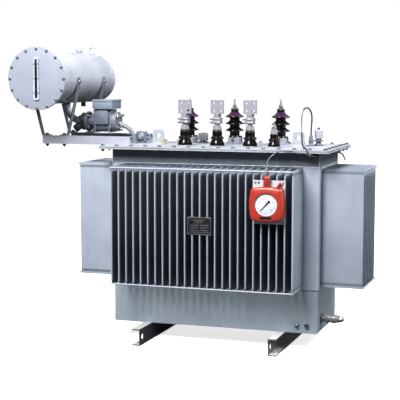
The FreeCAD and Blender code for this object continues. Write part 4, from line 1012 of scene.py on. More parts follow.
@dataclass
class Tank:
    """Lower tank, collar, flange, gasket and the bolted cover."""

    bolt: float = 0.012
    bolt_pitch: float = 0.091
    bolt_inset: float = 0.021
    seam: float = 0.006
    lip: float = 0.004

    def bolt_spots(self) -> list[Vector]:
        """Places of the cover's bolts, round its edge."""
        low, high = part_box("cover_plate")
        inset = self.bolt_inset
        x0, x1, y0, y1 = low.x + inset, high.x - inset, low.y + inset, high.y - inset
        along = round((x1 - x0) / self.bolt_pitch)
        across = round((y1 - y0) / self.bolt_pitch)
        spots = [Vector((x0 + (x1 - x0) * i / along, y, 0.0)) for i in range(along + 1) for y in (y0, y1)]
        return spots + [Vector((x, y0 + (y1 - y0) * i / across, 0.0)) for i in range(1, across) for x in (x0, x1)]

    def blocked(self, spot: Vector) -> bool:
        """True where a rail of the conservator covers a bolt's place."""
        rails = (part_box("conservator_rail_front"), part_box("conservator_rail_rear"))
        return any(low.x < spot.x < high.x and low.y - self.bolt < spot.y < high.y + self.bolt
                   for low, high in rails)

    def build(self) -> None:
        """Dress the tank and add its bolts and seams."""
        dress(TANK, "tank_floor", "lower_tank")
        # The collar's darker paint is painted shade under the cover.
        dress(COLLAR_SHADE, "tank_collar")
        dress(FINS, "wall_end_strips")
        dress(COVER, "tank_flange", "cover_plate")
        dress(RUBBER, "cover_gasket")
        dress(CORE, "core_and_windings")
        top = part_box("cover_plate")[1].z
        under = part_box("tank_flange")[0].z
        spots = self.bolt_spots()
        last_row = max(s.x for s in spots) - self.bolt
        ends = [aimed((s.x, s.y, under), Axis.DOWN, i * 17.0) for i, s in enumerate(spots)]
        piece = Piece("cover_bolts", ZINC, DARK_BOLT)
        # The last row at the cover's right end takes the dark bolt finish: painted shade on the same zinc bolts.
        for skin, row in enumerate(([s for s in spots if s.x < last_row], [s for s in spots if s.x >= last_row])):
            heads = [aimed((s.x, s.y, top), Axis.Z, i * 23.0) for i, s in enumerate(row) if not self.blocked(s)]
            Fasteners.bolt_head(piece, self.bolt, heads, skin)
        piece.finish()
        piece = Piece("cover_nuts", DARK_BOLT)
        Fasteners.bolt_end(piece, self.bolt, ends, proud=0.5)
        piece.finish()
        self.seams()

    def seams(self) -> None:
        """Lay the beads between collar, walls and lower tank, and up the tank's corners."""
        piece = Piece("tank_welds", TANK)
        low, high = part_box("lower_tank")
        collar_low, collar_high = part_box("tank_collar")
        out = self.seam * 0.2
        for (a, b), z in (((low, high), high.z), ((collar_low, collar_high), collar_low.z),
                          ((collar_low, collar_high), collar_high.z)):
            Fasteners.weld_square(piece, (a.x - out, a.y - out), (b.x + out, b.y + out), z, self.seam)
        for a, b in ((low, high), (collar_low, collar_high)):
            for x in (a.x, b.x):
                for y in (a.y, b.y):
                    Fasteners.weld(piece, (x, y, a.z), (x, y, b.z), self.seam)
        piece.finish()
        self.wall_edges()

    def wall_edges(self) -> None:
        """Lay the pale beads up the walls' corners and the folded lip along their feet."""
        piece = Piece("wall_edges", COVER)
        low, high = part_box("wall_end_strips")
        for x in (low.x, high.x):
            for y in (low.y, high.y):
                Fasteners.weld(piece, (x, y, low.z + 0.002), (x, y, high.z - 0.002), 0.007)
        corners = [(low.x, low.y), (high.x, low.y), (high.x, high.y), (low.x, high.y)]
        lip = self.lip
        for (ax, ay), (bx, by) in zip(corners, corners[1:] + corners[:1]):
            way = Vector((bx, by, 0.0)) - Vector((ax, ay, 0.0))
            bar = Stock.block((abs(way.x) + lip, abs(way.y) + lip, lip), 0.001)
            piece.add(bar, moved((ax + bx) / 2, (ay + by) / 2, low.z + lip / 2))
        piece.finish()


@dataclass
class CoolingWall:
    """One corrugated wall: folded fins whose ends are pressed flat and welded shut."""

    side: str
    turn: float
    fins: int
    shift: float
    depth: float
    foot: float
    height: float
    pitch: float = 0.045
    width: float = 0.009
    pinch: float = 0.030
    lip: float = 0.0024
    lip_tall: float = 0.014
    clear: float = 0.015
    plate: float = 0.008
    face: Finish = FINS
    # Faces between the fins: painted shade, and painted light on the end walls.
    deep: Finish = FIN_GAP_SHADE
    # Outermost fins' side faces; the long walls give them painted shade.
    flank: Finish = FINS

    def fin(self) -> BMesh:
        """One fin that points to -Y, with its root on y = 0 and its foot on z = 0."""
        shape = Stock.block((self.width, self.depth + self.plate / 2, self.height))
        bmesh.ops.translate(shape, vec=Vector((0.0, (self.plate / 2 - self.depth) / 2, self.height / 2)),
                            verts=shape.verts)
        levels = (self.pinch, self.height - self.pinch, self.lip_tall, self.height - self.lip_tall)
        cuts = [((0.0, 0.0, level), Axis.Z) for level in levels] + [((0.0, self.clear - self.depth, 0.0), Axis.Y)]
        for point, axis in cuts:
            geom = shape.verts[:] + shape.edges[:] + shape.faces[:]
            bmesh.ops.bisect_plane(shape, geom=geom, dist=1e-6, plane_co=point, plane_no=axis.value)
        tips = [e for e in shape.edges if all(v.co.y < -self.depth * 0.9 for v in e.verts)
                and abs(e.verts[0].co.z - e.verts[1].co.z) > 1e-4]
        Stock.bevel(shape, tips, self.width * 0.42, 3)
        ends = [v for v in shape.verts if min(v.co.z, self.height - v.co.z) < self.lip_tall + 0.0005]
        bmesh.ops.scale(shape, vec=Vector((self.lip / self.width, 1.0, 1.0)), verts=ends)
        return shape

    def placement(self) -> Matrix:
        """Turn and place that carry a wall facing -Y to its own side."""
        low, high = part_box("corrugated_wall_" + self.side)
        faces = {"front": (0.0, low.y), "back": (0.0, high.y), "left": (low.x, 0.0), "right": (high.x, 0.0)}
        x, y = faces[self.side]
        out = spun(self.turn) @ Vector((0.0, self.depth, 0.0))
        return moved(x + out.x, y + out.y, low.z) @ spun(self.turn)

    def build(self) -> None:
        """Make the folded sheet and the fins, and stand for the frame's plain wall."""
        low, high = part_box("corrugated_wall_" + self.side)
        place = self.placement()
        # The gap finish is painted shade on the long walls and painted light on the end walls; the crease finish is
        # painted shade.
        piece = Piece("fins_" + self.side, self.face, self.deep, CREASE_SHADE, self.flank)
        span, tall = (self.fins - 1) * self.pitch, high.z - low.z
        middle = place @ moved(self.shift, self.plate / 2, tall / 2)
        piece.add(Stock.block((span, self.plate, tall)), middle)
        edges = [middle @ moved(s * (span + self.pitch / 2) / 2, 0.0, 0.0) for s in (-1, 1)]
        piece.add(Stock.block((self.pitch / 2, self.plate, tall)), edges)
        steps = [place @ moved(self.shift + (i - (self.fins - 1) / 2) * self.pitch, 0.0, self.foot)
                 for i in range(self.fins)]
        piece.add(self.fin(), steps)
        self.shade_gaps(piece, place.inverted(), span / 2, tall)
        piece.finish("corrugated_wall_" + self.side, smooth=28.0)

    def shade_gaps(self, piece: Piece, back: Matrix, reach: float, tall: float) -> None:
        """Give their own finishes to the faces between the fins and to the outermost fins' creases and flanks:
        painted shade in the long walls' gaps, painted light in the end walls' gaps, and painted shade on the creases
        and the long walls' flanks.

        Args:
            piece: Piece that holds the sheet and the fins.
            back: Transform from the piece to the wall's own place.
            reach: Half the distance between the outermost fins.
            tall: Height of the sheet.
        """
        deep, crease, flank = 1, 2, 3
        for face in piece.shape.faces:
            if abs(face.normal.z) >= 0.5:
                continue
            centre = back @ face.calc_center_median()
            aside = abs(centre.x - self.shift)
            edge = min(centre.z - self.foot, self.foot + self.height - centre.z)
            if aside < reach and centre.y > self.clear - self.depth and centre.z < tall - self.pinch:
                face.material_index = deep
            elif aside > reach and centre.y < 0.0 and self.lip_tall < edge < self.pinch:
                face.material_index = crease
            elif aside > reach and edge > self.pinch and self.width - self.depth < centre.y < 0.0:
                face.material_index = flank


@dataclass
class CoolingWalls:
    """The four corrugated walls and the tie bars across the fin tips."""

    def build(self) -> None:
        """Build every wall and dress the bars."""
        for side, turn, shift in (("front", 0.0, -0.010), ("back", 180.0, 0.010)):
            # Long walls: painted shade in the gaps and on the outermost flanks.
            CoolingWall(side, turn, 25, shift, 0.222, 0.006, 0.692, flank=FLANK_SHADE).build()
        # End walls: painted light in the gaps, and a darker copy of the fin paint on the right wall, painted shade.
        for side, turn, face in (("left", -90.0, FINS), ("right", 90.0, END_FIN_SHADE)):
            CoolingWall(side, turn, 9, 0.0, 0.243, 0.011, 0.683, clear=0.045, face=face, deep=END_GAP_LIGHT,
                        flank=face).build()
        dress(COVER, "fin_tie_bars")


@dataclass
class Conservator:
    """The oil drum with its bolted front cover, oil gauge, filler cap, eye, rails and arms."""

    bolts: int = 16
    bolt: float = 0.009
    rail_bolt: float = 0.012
    rail_bolts_x: Sequence[float] = (-0.640, -0.560)
    circle: float = 0.1745
    wall: float = 0.004
    rim_thick: float = 0.010
    sump_y: float = 0.225

    def build(self) -> None:
        """Build every part of the conservator."""
        low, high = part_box("conservator_shell")
        front_low, front_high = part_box("conservator_front_cover")
        self.axis_x, self.axis_z = (front_low.x + front_high.x) / 2, (front_low.z + front_high.z) / 2
        self.rim = (front_high.x - front_low.x) / 2
        rear_low, rear_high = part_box("conservator_rear_end")
        self.radius = (rear_high.x - rear_low.x) / 2 + self.wall + 0.0003
        self.front, self.back, self.cover_front = low.y, high.y, front_low.y
        self.shell()
        self.front_cover(front_high.y - front_low.y)
        self.rear_end(rear_low.y, rear_high.y)
        self.gauge()
        self.top_fittings()
        self.rails()

    def centre(self, y: float) -> tuple[float, float, float]:
        """Point on the drum's axis."""
        return (self.axis_x, y, self.axis_z)

    def shell(self) -> None:
        """Rolled drum with its rim, seams, lifting eye and drain stub."""
        long = self.back - self.front
        outer, inner = self.radius, self.radius - self.wall
        profile = [(inner, 0.0), (self.rim, 0.0), (self.rim, self.rim_thick), (outer, self.rim_thick),
                   (outer, long), (inner, long)]
        # The barrel takes the paler paint: painted light, with painted shade underneath.
        piece = Piece("drum_shell", BARREL_LIGHT_SHADE, IRON)
        piece.add(Stock.turned(profile, 0.0012, 128, ring=True), aimed(self.centre(self.front), Axis.Y))
        for y, width in ((self.front + self.rim_thick + 0.001, 0.007), (self.back - 0.001, 0.005)):
            Fasteners.weld_ring(piece, self.centre(y), Vector((0.0, 0.0, outer)), "Y", width, 240, 0.86)
        seam = math.radians(40.0)
        x, z = self.axis_x + outer * math.sin(-seam), self.axis_z - outer * math.cos(seam)
        Fasteners.weld(piece, (x, self.front + 0.02, z), (x, self.back - 0.01, z), 0.005)
        self.lifting_eye(piece)
        sump = aimed((self.axis_x, self.sump_y, self.axis_z - outer))
        piece.add(Stock.rod(0.015, 0.030, 0.001), sump @ moved(0, 0, -0.024), 1)
        piece.add(Stock.nut(0.026, 0.006), sump @ moved(0, 0, -0.0275), 1)
        piece.finish("conservator_shell")

    def lifting_eye(self, piece: Piece) -> None:
        """Bent bar that stands on the drum."""
        y, half, top = 0.384, 0.033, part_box("conservator_shell")[1].z
        foot, crown = self.axis_z + self.radius - 0.006, top - 0.005
        left, right = self.axis_x - half, self.axis_x + half
        path = Stock.rounded_path([(left, y, foot), (left, y, crown), (right, y, crown), (right, y, foot)], 0.0315, 9)
        piece.add(Stock.swept(path, [0.005], 14))

    def front_cover(self, thick: float) -> None:
        """Round cover with its bolts, and the nuts behind the rim."""
        piece = Piece("drum_cover", DRUM, RUBBER)
        piece.add(Stock.rod(self.rim, thick, 0.0016, 160), aimed(self.centre(self.cover_front), Axis.Y))
        piece.add(Stock.washer(self.rim - 0.0006, self.rim - 0.03, 0.0016, 0.0, 96),
                  aimed(self.centre(self.front - 0.0008), Axis.Y), 1)
        piece.finish("conservator_front_cover")
        turns = [math.radians(360.0 / self.bolts * i) for i in range(self.bolts)]
        spots = [(self.axis_x + self.circle * math.sin(t), self.axis_z + self.circle * math.cos(t)) for t in turns]
        bolts = Piece("drum_cover_bolts", ZINC)
        behind = self.front + self.rim_thick
        heads = [aimed((x, self.cover_front, z), Axis.FRONT, i * 19.0) for i, (x, z) in enumerate(spots)]
        ends = [aimed((x, behind, z), Axis.Y, i * 31.0) for i, (x, z) in enumerate(spots)]
        Fasteners.bolt_head(bolts, self.bolt, heads)
        Fasteners.bolt_end(bolts, self.bolt, ends)
        bolts.finish()

    def rear_end(self, start: float, end: float) -> None:
        """Plain end plate, welded inside the drum's edge."""
        piece = Piece("drum_rear_end", DRUM)
        inner = self.radius - self.wall
        piece.add(Stock.rod(inner - 0.0003, end - start, 0.001, 128), aimed(self.centre(start), Axis.Y))
        spoke = Vector((0.0, 0.0, inner - 0.001))
        Fasteners.weld_ring(piece, self.centre(end), spoke, "Y", 0.0064, 180, 0.84375)
        piece.finish("conservator_rear_end")

    def gauge(self) -> None:
        """Dress the oil gauge's frame and set the dark tube and the screws in it."""
        # The gauge frame's paler paint is a painted highlight.
        dress(GAUGE_LIT, "oil_level_gauge")
        low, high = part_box("oil_level_gauge")
        x, z = (low.x + high.x) / 2, (low.z + high.z) / 2
        long, reach = high.z - low.z - 0.026, (high.x - low.x) / 2 - 0.0045
        piece = Piece("oil_tube", DARK_SLOT, ZINC)
        piece.add(Stock.rod(0.0074, long - 0.002, 0.003, 24), aimed((x, high.y - 0.0085, z - long / 2 + 0.001)))
        screws = [aimed((x + s * reach, low.y, z + rise), Axis.FRONT, rise * 900.0)
                  for s in (-1, 1) for rise in (-0.085, 0.0, 0.085)]
        Fasteners.bolt_head(piece, 0.004, screws, 1, washer=False)
        piece.finish()

    def top_fittings(self) -> None:
        """Filler cap with its grip."""
        low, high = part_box("conservator_filler_cap")
        x, y = (low.x + high.x) / 2, (low.y + high.y) / 2
        piece = Piece("filler_cap", DRUM)
        profile = profile_mm(0, 0, 17, 0, 17, 8, 20, 9, 20, 20, 16, 22, 0, 22)
        piece.add(Stock.turned(profile, 0.0008, 40), aimed((x, y, low.z)))
        grips = ring_of(aimed((x, y, low.z + 0.0145)), 18, 0.0198)
        piece.add(Stock.block((0.0010, 0.0028, 0.009), 0.0004, 1), grips)
        piece.finish("conservator_filler_cap")

    def rails(self) -> None:
        """Dress the rails and arms, and bolt them together and to the cover."""
        dress(RAILS, "conservator_rail_front", "conservator_rail_rear")
        dress(PIPE, "conservator_arms")
        piece = Piece("conservator_bolts", ZINC, DARK_BOLT)
        arm_low, arm_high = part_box("conservator_arms")
        size, foot_inset = self.rail_bolt, 0.012
        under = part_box("tank_flange")[0].z
        for node in ("conservator_rail_front", "conservator_rail_rear"):
            low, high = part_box(node)
            y = (low.y + high.y) / 2
            for side, x, way in ((-1, arm_low.x, Axis.LEFT), (1, arm_high.x, Axis.X)):
                foot_x = self.axis_x + side * 0.057
                Fasteners.bolt_head(piece, size, [aimed((foot_x, y, high.z + 0.006), Axis.Z, 10.0)])
                Fasteners.bolt_end(piece, size, [aimed((foot_x, y, low.z), Axis.DOWN, 20.0)], 1)
                Fasteners.bolt_head(piece, size, [aimed((x, y, self.axis_z - 0.020), way, 15.0)])
            foot_y = high.y - foot_inset if y < 0 else low.y + foot_inset
            for x in self.rail_bolts_x:
                Fasteners.bolt_head(piece, size, [aimed((x, foot_y, low.z + 0.005), Axis.Z, 5.0)])
                Fasteners.bolt_end(piece, size, [aimed((x, foot_y, under), Axis.DOWN)], 1)
        piece.finish()


@dataclass
class RelayLine:
    """Pipes, shut-off valve, gas relay and its terminal box, between the drum and the cover."""

    y: float = -0.015
    flange: float = 0.062
    valve_radius: float = 0.054

    def build(self) -> None:
        """Build the line from left to right."""
        pipe_low, pipe_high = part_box("relay_pipe_upper")
        body_low, body_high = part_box("gas_relay_body")
        self.left, self.right = body_low.x, body_high.x
        self.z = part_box("relay_shutoff_valve")[1].z - self.valve_radius
        # The upper pipe takes the paler rail paint: painted light, since it lies in the drum's shade.
        dress(RAILS, "relay_pipe_upper")
        dress(PIPE, "relay_pipe_lower")
        self.valve(pipe_high.x)
        self.relay()
        self.terminal_box()
        self.cocks()
        self.pipe_seams(pipe_low)

    def ring_bolts(self, piece: Piece, x: float, count: int, circle: float, size: float, way: Axis, skin: int = 0
                   ) -> None:
        """Bolt heads round the line's axis, standing on a flange's face."""
        turns = [math.radians(360.0 / count * (i + 0.5)) for i in range(count)]
        places = [aimed((x, self.y + circle * math.sin(t), self.z + circle * math.cos(t)), way, i * 21.0)
                  for i, t in enumerate(turns)]
        Fasteners.bolt_end(piece, size, places, skin)

    def valve(self, start: float) -> None:
        """Wafer valve with its black knob."""
        piece = Piece("shutoff_valve", IRON, ZINC)
        profile = profile_mm(21.5, 0, 48, 0, 54, 5, 54, 12, 50, 14, 50, 22, 54, 24, 54, 31, 50, 36, 21.5, 36)
        piece.add(Stock.turned(profile, 0.0012, 72, ring=True), aimed((start, self.y, self.z), Axis.X))
        self.ring_bolts(piece, start, 4, 0.041, 0.010, Axis.LEFT, 1)
        centre = Vector((start + 0.018, self.y, self.z))
        offset = Vector((-0.043, -0.025, -0.037))
        out = offset.normalized()
        begin = centre + Vector((0.0, offset.y, offset.z)).normalized() * 0.030
        piece.add(Stock.swept([begin, centre + offset], [0.013], 24))
        knob = profile_mm(0, 0, 16, 0, 20, 3, 23, 10, 23, 34, 20, 40, 12, 42, 0, 42)
        base = aimed(centre + offset - out * 0.021, out)
        piece.add(Stock.turned(knob, 0.001, 48), base)
        piece.add(Stock.block((0.003, 0.005, 0.024), 0.001), ring_of(base, 12, 0.0225, 0.022))
        piece.finish("relay_shutoff_valve")

    def relay(self) -> None:
        """Cast relay body with flanges, belly, sight window and plugs."""
        low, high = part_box("gas_relay_body")
        # The relay body takes a darker copy of the casting paint: painted shade.
        piece = Piece("gas_relay", RELAY_BODY_SHADE, ZINC)
        middle = (self.left + self.right) / 2 + 0.0200
        length, depth = 0.118, 0.092
        shape = Stock.block((length, depth, high.z - low.z - 0.004))
        belly = [e for e in shape.edges if all(v.co.z < 0 for v in e.verts)]
        Stock.bevel(shape, belly, 0.036, 7)
        Stock.soften(shape, 0.003, 2, 50.0)
        piece.add(shape, moved(middle, self.y, (low.z + high.z) / 2 - 0.002))
        piece.add(Stock.rod(0.032, self.right - self.left, 0.001, 48), aimed((self.left, self.y, self.z), Axis.X))
        flange = [(0.0, 0.0), (self.flange - 0.002, 0.0), (self.flange, 0.002), (self.flange, 0.014),
                  (self.flange - 0.002, 0.016), (0.038, 0.016), (0.033, 0.022), (0.0, 0.022)]
        piece.add(Stock.turned(flange, 0.0008, 72), aimed((self.left, self.y, self.z), Axis.X))
        piece.add(Stock.turned(flange, 0.0008, 72), aimed((self.right, self.y, self.z), Axis.LEFT))
        self.ring_bolts(piece, self.left + 0.016, 4, 0.048, 0.010, Axis.X, 1)
        self.ring_bolts(piece, self.right - 0.016, 4, 0.048, 0.010, Axis.LEFT, 1)
        ribs = [moved(middle + s * 0.046, self.y, self.z - 0.045) for s in (-1, 1)]
        piece.add(Stock.block((0.007, 0.096, 0.040), 0.002), ribs)
        self.sight(piece, middle, low.y, high.z)
        piece.add(Stock.turned(profile_mm(0, 0, 11, 0, 11, 6, 0, 6), 0.001, 24),
                  aimed((middle, self.y, low.z + 0.0052), Axis.DOWN), 1)
        piece.finish("gas_relay_body")

    def sight(self, piece: Piece, middle: float, front: float, top: float) -> None:
        """Raised box on the front with its window plate and screws."""
        width, height, deep = 0.088, 0.094, 0.018
        z = top - height / 2
        piece.add(Stock.rounded_plate(width, height, deep + 0.002, 0.006, 0.0018),
                  aimed((middle, front + deep + 0.002, z), Axis.FRONT))
        piece.add(Stock.rounded_plate(width - 0.020, height - 0.024, 0.0012, 0.004, 0.0004),
                  aimed((middle, front + 0.0004, z), Axis.FRONT))
        inset = 0.007
        screws = corners_of((middle, front, z), width / 2 - inset, height / 2 - inset, Axis.FRONT, 9.0)
        Fasteners.bolt_head(piece, 0.004, screws, 1, washer=False)

    def terminal_box(self) -> None:
        """Terminal box with a lipped lid, corner screws and a cable gland."""
        low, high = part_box("relay_terminal_box")
        piece = Piece("terminal_box", CASTING, ZINC)
        width, depth, height = high.x - low.x, high.y - low.y, high.z - low.z
        x, y = (low.x + high.x) / 2, (low.y + high.y) / 2
        lid = 0.015
        piece.add(Stock.rounded_plate(width - 0.006, depth - 0.006, height - lid, 0.008, 0.002), aimed((x, y, low.z)))
        piece.add(Stock.rounded_plate(width, depth, lid - 0.002, 0.009, 0.003), aimed((x, y, high.z - lid)))
        inset = 0.012
        screws = corners_of((x, y, high.z - 0.002), width / 2 - inset, depth / 2 - inset, Axis.Z, 12.0)
        piece.add(Stock.rod(0.005, 0.002, 0.0006, 20), screws, 1)
        gland = aimed((x, high.y - 0.003, low.z + 0.022), Axis.Y)
        piece.add(Stock.nut(0.024, 0.010), gland, 1)
        piece.add(Stock.rod(0.009, 0.020, 0.002, 24), gland, 1)
        piece.finish("relay_terminal_box")

    def cocks(self) -> None:
        """Test lever and drain cock on the right flange."""
        low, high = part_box("relay_cocks")
        face, y = low.x, (low.y + high.y) / 2
        piece = Piece("relay_test_cocks", GREY_IRON, ZINC)
        piece.add(Stock.block((high.x - face, 0.008, 0.010), 0.002),
                  moved((face + high.x) / 2, y, high.z - 0.008))
        piece.add(Stock.rod(0.007, 0.014, 0.002, 24), aimed((high.x - 0.007, y, high.z - 0.014)))
        piece.add(Stock.nut(0.016, 0.010), aimed((face, y, high.z - 0.008), Axis.X), 1)
        piece.add(Stock.rod(0.007, 0.027, 0.001, 24), aimed((face, y, low.z + 0.020), Axis.X))
        barrel = profile_mm(0, 0, 7, 0, 10, 4, 10, 14, 8, 18, 10, 22, 10, 36, 7, 40, 0, 40)
        piece.add(Stock.turned(barrel, 0.0008, 32), aimed((face + 0.027, y, low.z)), 1)
        piece.finish("relay_cocks")

    def pipe_seams(self, pipe_low: Vector) -> None:
        """Beads where the upper pipe meets the drum and the lower pipe meets the cover, and the bolts of the right
        flange.
        """
        piece = Piece("relay_line_fittings", PIPE, ZINC)
        low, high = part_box("relay_pipe_lower")
        self.ring_bolts(piece, self.right + 0.016, 4, 0.046, 0.010, Axis.X, 1)
        pipe, foot = 0.0212, 0.0190
        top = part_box("relay_pipe_upper")[1].z - 0.003
        for centre, radius, width in (((pipe_low.x + pipe, self.y, top), pipe, 0.006),
                                      ((high.x - foot, self.y, low.z + 0.008), 0.0140, 0.005),
                                      ((high.x - foot, self.y, low.z + 0.001), foot, 0.005)):
            Fasteners.weld_ring(piece, centre, Vector((radius, 0.0, 0.0)), "Z", width, 40, 0.85)
        piece.finish()


@dataclass
class HighBushing:
    """One high-voltage bushing's glazed column with three sheds and a neck; HighBushings sets its claws, cap, nuts
    and stud.
    """

    number: int
    x: float
    y: float
    core: float = 0.030
    shed: float = 0.056

    def build(self) -> None:
        """Turn the porcelain and set the metal on it."""
        low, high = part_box(f"hv_bushing_{self.number}")
        top = high.z - low.z
        profile = [(0.0, 0.0), (0.034, 0.0), (0.034, 0.004), (self.core, 0.010)]
        for height in (0.042, 0.0835, 0.126):
            profile += [(self.core, height - 0.010), (self.core + 0.004, height - 0.0065),
                        (self.shed - 0.006, height - 0.0030), (self.shed - 0.0015, height - 0.0028),
                        (self.shed, height + 0.0002), (self.shed - 0.002, height + 0.0035),
                        (self.core + 0.013, height + 0.010), (self.core + 0.003, height + 0.018),
                        (self.core, height + 0.021)]
        neck = self.core - 0.007
        profile += [(self.core - 0.003, top - 0.018), (neck, top - 0.014), (neck, top - 0.002),
                    (self.core - 0.009, top), (0.0, top)]
        piece = Piece(f"hv_porcelain_{self.number}", GLAZE)
        piece.add(Stock.turned(profile, 0.0008, 72), aimed((self.x, self.y, low.z)))
        piece.finish(f"hv_bushing_{self.number}", smooth=50.0)


@dataclass
class HighBushings:
    """The three high-voltage bushings with their turrets and terminals."""

    y: float = 0.170

    def build(self) -> None:
        """Build the bushings, then the turrets and the terminals as one piece each."""
        turrets = Piece("hv_clamps", TURRET, DARK_BOLT)
        metal = Piece("hv_studs", ZINC, IRON)
        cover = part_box("cover_plate")[1].z
        for number in (1, 2, 3):
            low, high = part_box(f"hv_bushing_{number}")
            x = (low.x + high.x) / 2
            HighBushing(number, x, self.y).build()
            self.turret(turrets, x, cover, low.z)
            self.terminal(metal, x, high.z)
        turrets.finish("hv_turrets")
        metal.finish("hv_terminals")

    def turret(self, piece: Piece, x: float, cover: float, seat: float) -> None:
        """Flanged collar with three claws and their bolts."""
        place = aimed((x, self.y, cover))
        rise = seat - cover
        profile = [(0.0, 0.0), (0.050, 0.0), (0.050, 0.008), (0.041, 0.009), (0.040, rise - 0.003), (0.038, rise),
                   (0.0, rise)]
        piece.add(Stock.turned(profile, 0.0012, 56), place)
        arm = Stock.block((0.013, 0.015, rise - 0.002), 0.002)
        piece.add(arm, ring_of(place, 3, 0.0415, rise / 2 + 0.004, 30.0), 1)
        finger = Stock.block((0.012, 0.015, 0.009), 0.002)
        piece.add(finger, ring_of(place, 3, 0.0402, rise + 0.0052, 30.0), 1)
        Fasteners.bolt_head(piece, 0.007, ring_of(place, 3, 0.0440, 0.008, 90.0), 1, washer=False)

    def terminal(self, piece: Piece, x: float, foot: float) -> None:
        """Cap, two nuts with a washer, and the threaded stud."""
        place = aimed((x, self.y, foot))
        cap = profile_mm(0, 0, 24.5, 0, 24.5, 5, 20, 8, 0, 8)
        piece.add(Stock.turned(cap, 0.0008, 40), place, 1)
        for height, turn in ((0.008, 0.0), (0.021, 17.0)):
            piece.add(Stock.nut(0.022, 0.009), place @ moved(0, 0, height) @ spun(turn))
        piece.add(Stock.rod(0.014, 0.003, 0.0006, 32), place @ moved(0, 0, 0.0175))
        piece.add(threaded(0.006, 0.034, 0.064), place)


def threaded(radius: float, start: float, end: float, pitch: float = 0.00175) -> BMesh:
    """Threaded end of a stud, as fine grooves turned round it.

    Args:
        radius: Radius of the stud.
        start: Height where the thread starts. Below it the stud is plain.
        end: Height of the stud's tip.
        pitch: Step of the thread.

    Returns:
        The shape, standing on the origin.
    """
    profile = [(0.0, 0.0), (radius * 0.97, 0.0), (radius * 0.97, start)]
    height = start
    while height + pitch < end - radius * 0.2:
        profile += [(radius, height + pitch * 0.3), (radius * 0.9, height + pitch * 0.8)]
        height += pitch
    return Stock.turned(profile + [(radius * 0.8, end), (0.0, end)], 0.0, 20)


@dataclass
class LowBushings:
    """Three low-voltage bushings with flag terminals, and the smaller neutral one."""

    y: float = -0.160

    def build(self) -> None:
        """Build the porcelain, the seats, and the metal above."""
        dress(COVER, "lv_seat_rings")
        dress(PLATED, "lv_terminals")
        clamps = Piece("lv_clamps", ZINC, DARK_BOLT, RUBBER)
        for node in ("lv_bushing_1", "lv_bushing_2", "lv_bushing_3"):
            low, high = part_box(node)
            x = (low.x + high.x) / 2
            self.porcelain(node, x, low.z, high.z - low.z, 0.043, 0.040, 0.040, 0.029)
            self.clamp(clamps, x, high.z)
        low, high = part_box("lv_neutral_bushing")
        x = (low.x + high.x) / 2
        self.porcelain("lv_neutral_bushing", x, low.z, high.z - low.z, 0.036, 0.033, 0.033, 0.024)
        self.neutral(clamps, x, high.z)
        clamps.finish()

    def porcelain(self, node: str, x: float, foot: float, height: float, bell: float, bell_height: float,
                  shed: float, core: float) -> None:
        """Squat glazed bell with one shed and a plain barrel above it."""
        profile = [(0.0, 0.0), (bell - 0.002, 0.0), (bell, 0.002), (bell, 0.005),
                   ((bell + core) / 2 + 0.003, bell_height * 0.45), (core + 0.003, bell_height - 0.005),
                   (core + 0.004, bell_height - 0.002), (shed - 0.003, bell_height - 0.001),
                   (shed, bell_height + 0.002), (shed, bell_height + 0.006), (core + 0.004, bell_height + 0.011),
                   (core, bell_height + 0.014), (core, height - 0.004), (core - 0.003, height), (0.0, height)]
        piece = Piece(node.replace("bushing", "porcelain"), GLAZE)
        piece.add(Stock.turned(profile, 0.0010, 72), aimed((x, self.y, foot)))
        piece.finish(node, smooth=50.0)

    def clamp(self, piece: Piece, x: float, foot: float) -> None:
        """Split clamp round the stem, with its two rows of bolts to the left and front."""
        width, bolt, apart = 0.045, 0.008, 0.012
        for level in (0.068, 0.048):
            piece.add(Stock.block((width, 0.042, 0.013), 0.003), moved(x, self.y, foot + level))
            ends = [aimed((x - width / 2, self.y + side * apart, foot + level), Axis.LEFT, 10.0) for side in (-1, 1)]
            Fasteners.bolt_end(piece, bolt, ends[:1], 1, proud=1.6)
            Fasteners.bolt_end(piece, bolt, ends[1:], 1, proud=1.6)
            head = aimed((x + width / 2, self.y - apart, foot + level), Axis.X, 25.0)
            Fasteners.bolt_head(piece, bolt, [head], 1)
        piece.add(Stock.turned(profile_mm(0, 0, 26.5, 0, 26.5, 9, 21, 14.5, 0, 14.5), 0.001, 48),
                  aimed((x, self.y, foot)), 1)
        pin = aimed((x + 0.022, self.y - 0.014, foot))
        piece.add(Stock.rod(0.0042, 0.040, 0.001, 20), pin @ moved(0, 0, 0.056))
        piece.add(Stock.rod(0.0065, 0.010, 0.001, 24), pin @ moved(0, 0, 0.090), 2)

    def neutral(self, piece: Piece, x: float, foot: float) -> None:
        """A washer between the neutral's nuts, and the upper nut over it."""
        piece.add(Stock.washer(0.016, 0.0062, 0.003, 0.0006), aimed((x, self.y, foot + 0.0285)))
        piece.add(Stock.nut(0.030, 0.010), aimed((x, self.y, foot + 0.0315), Axis.Z, 14.0))


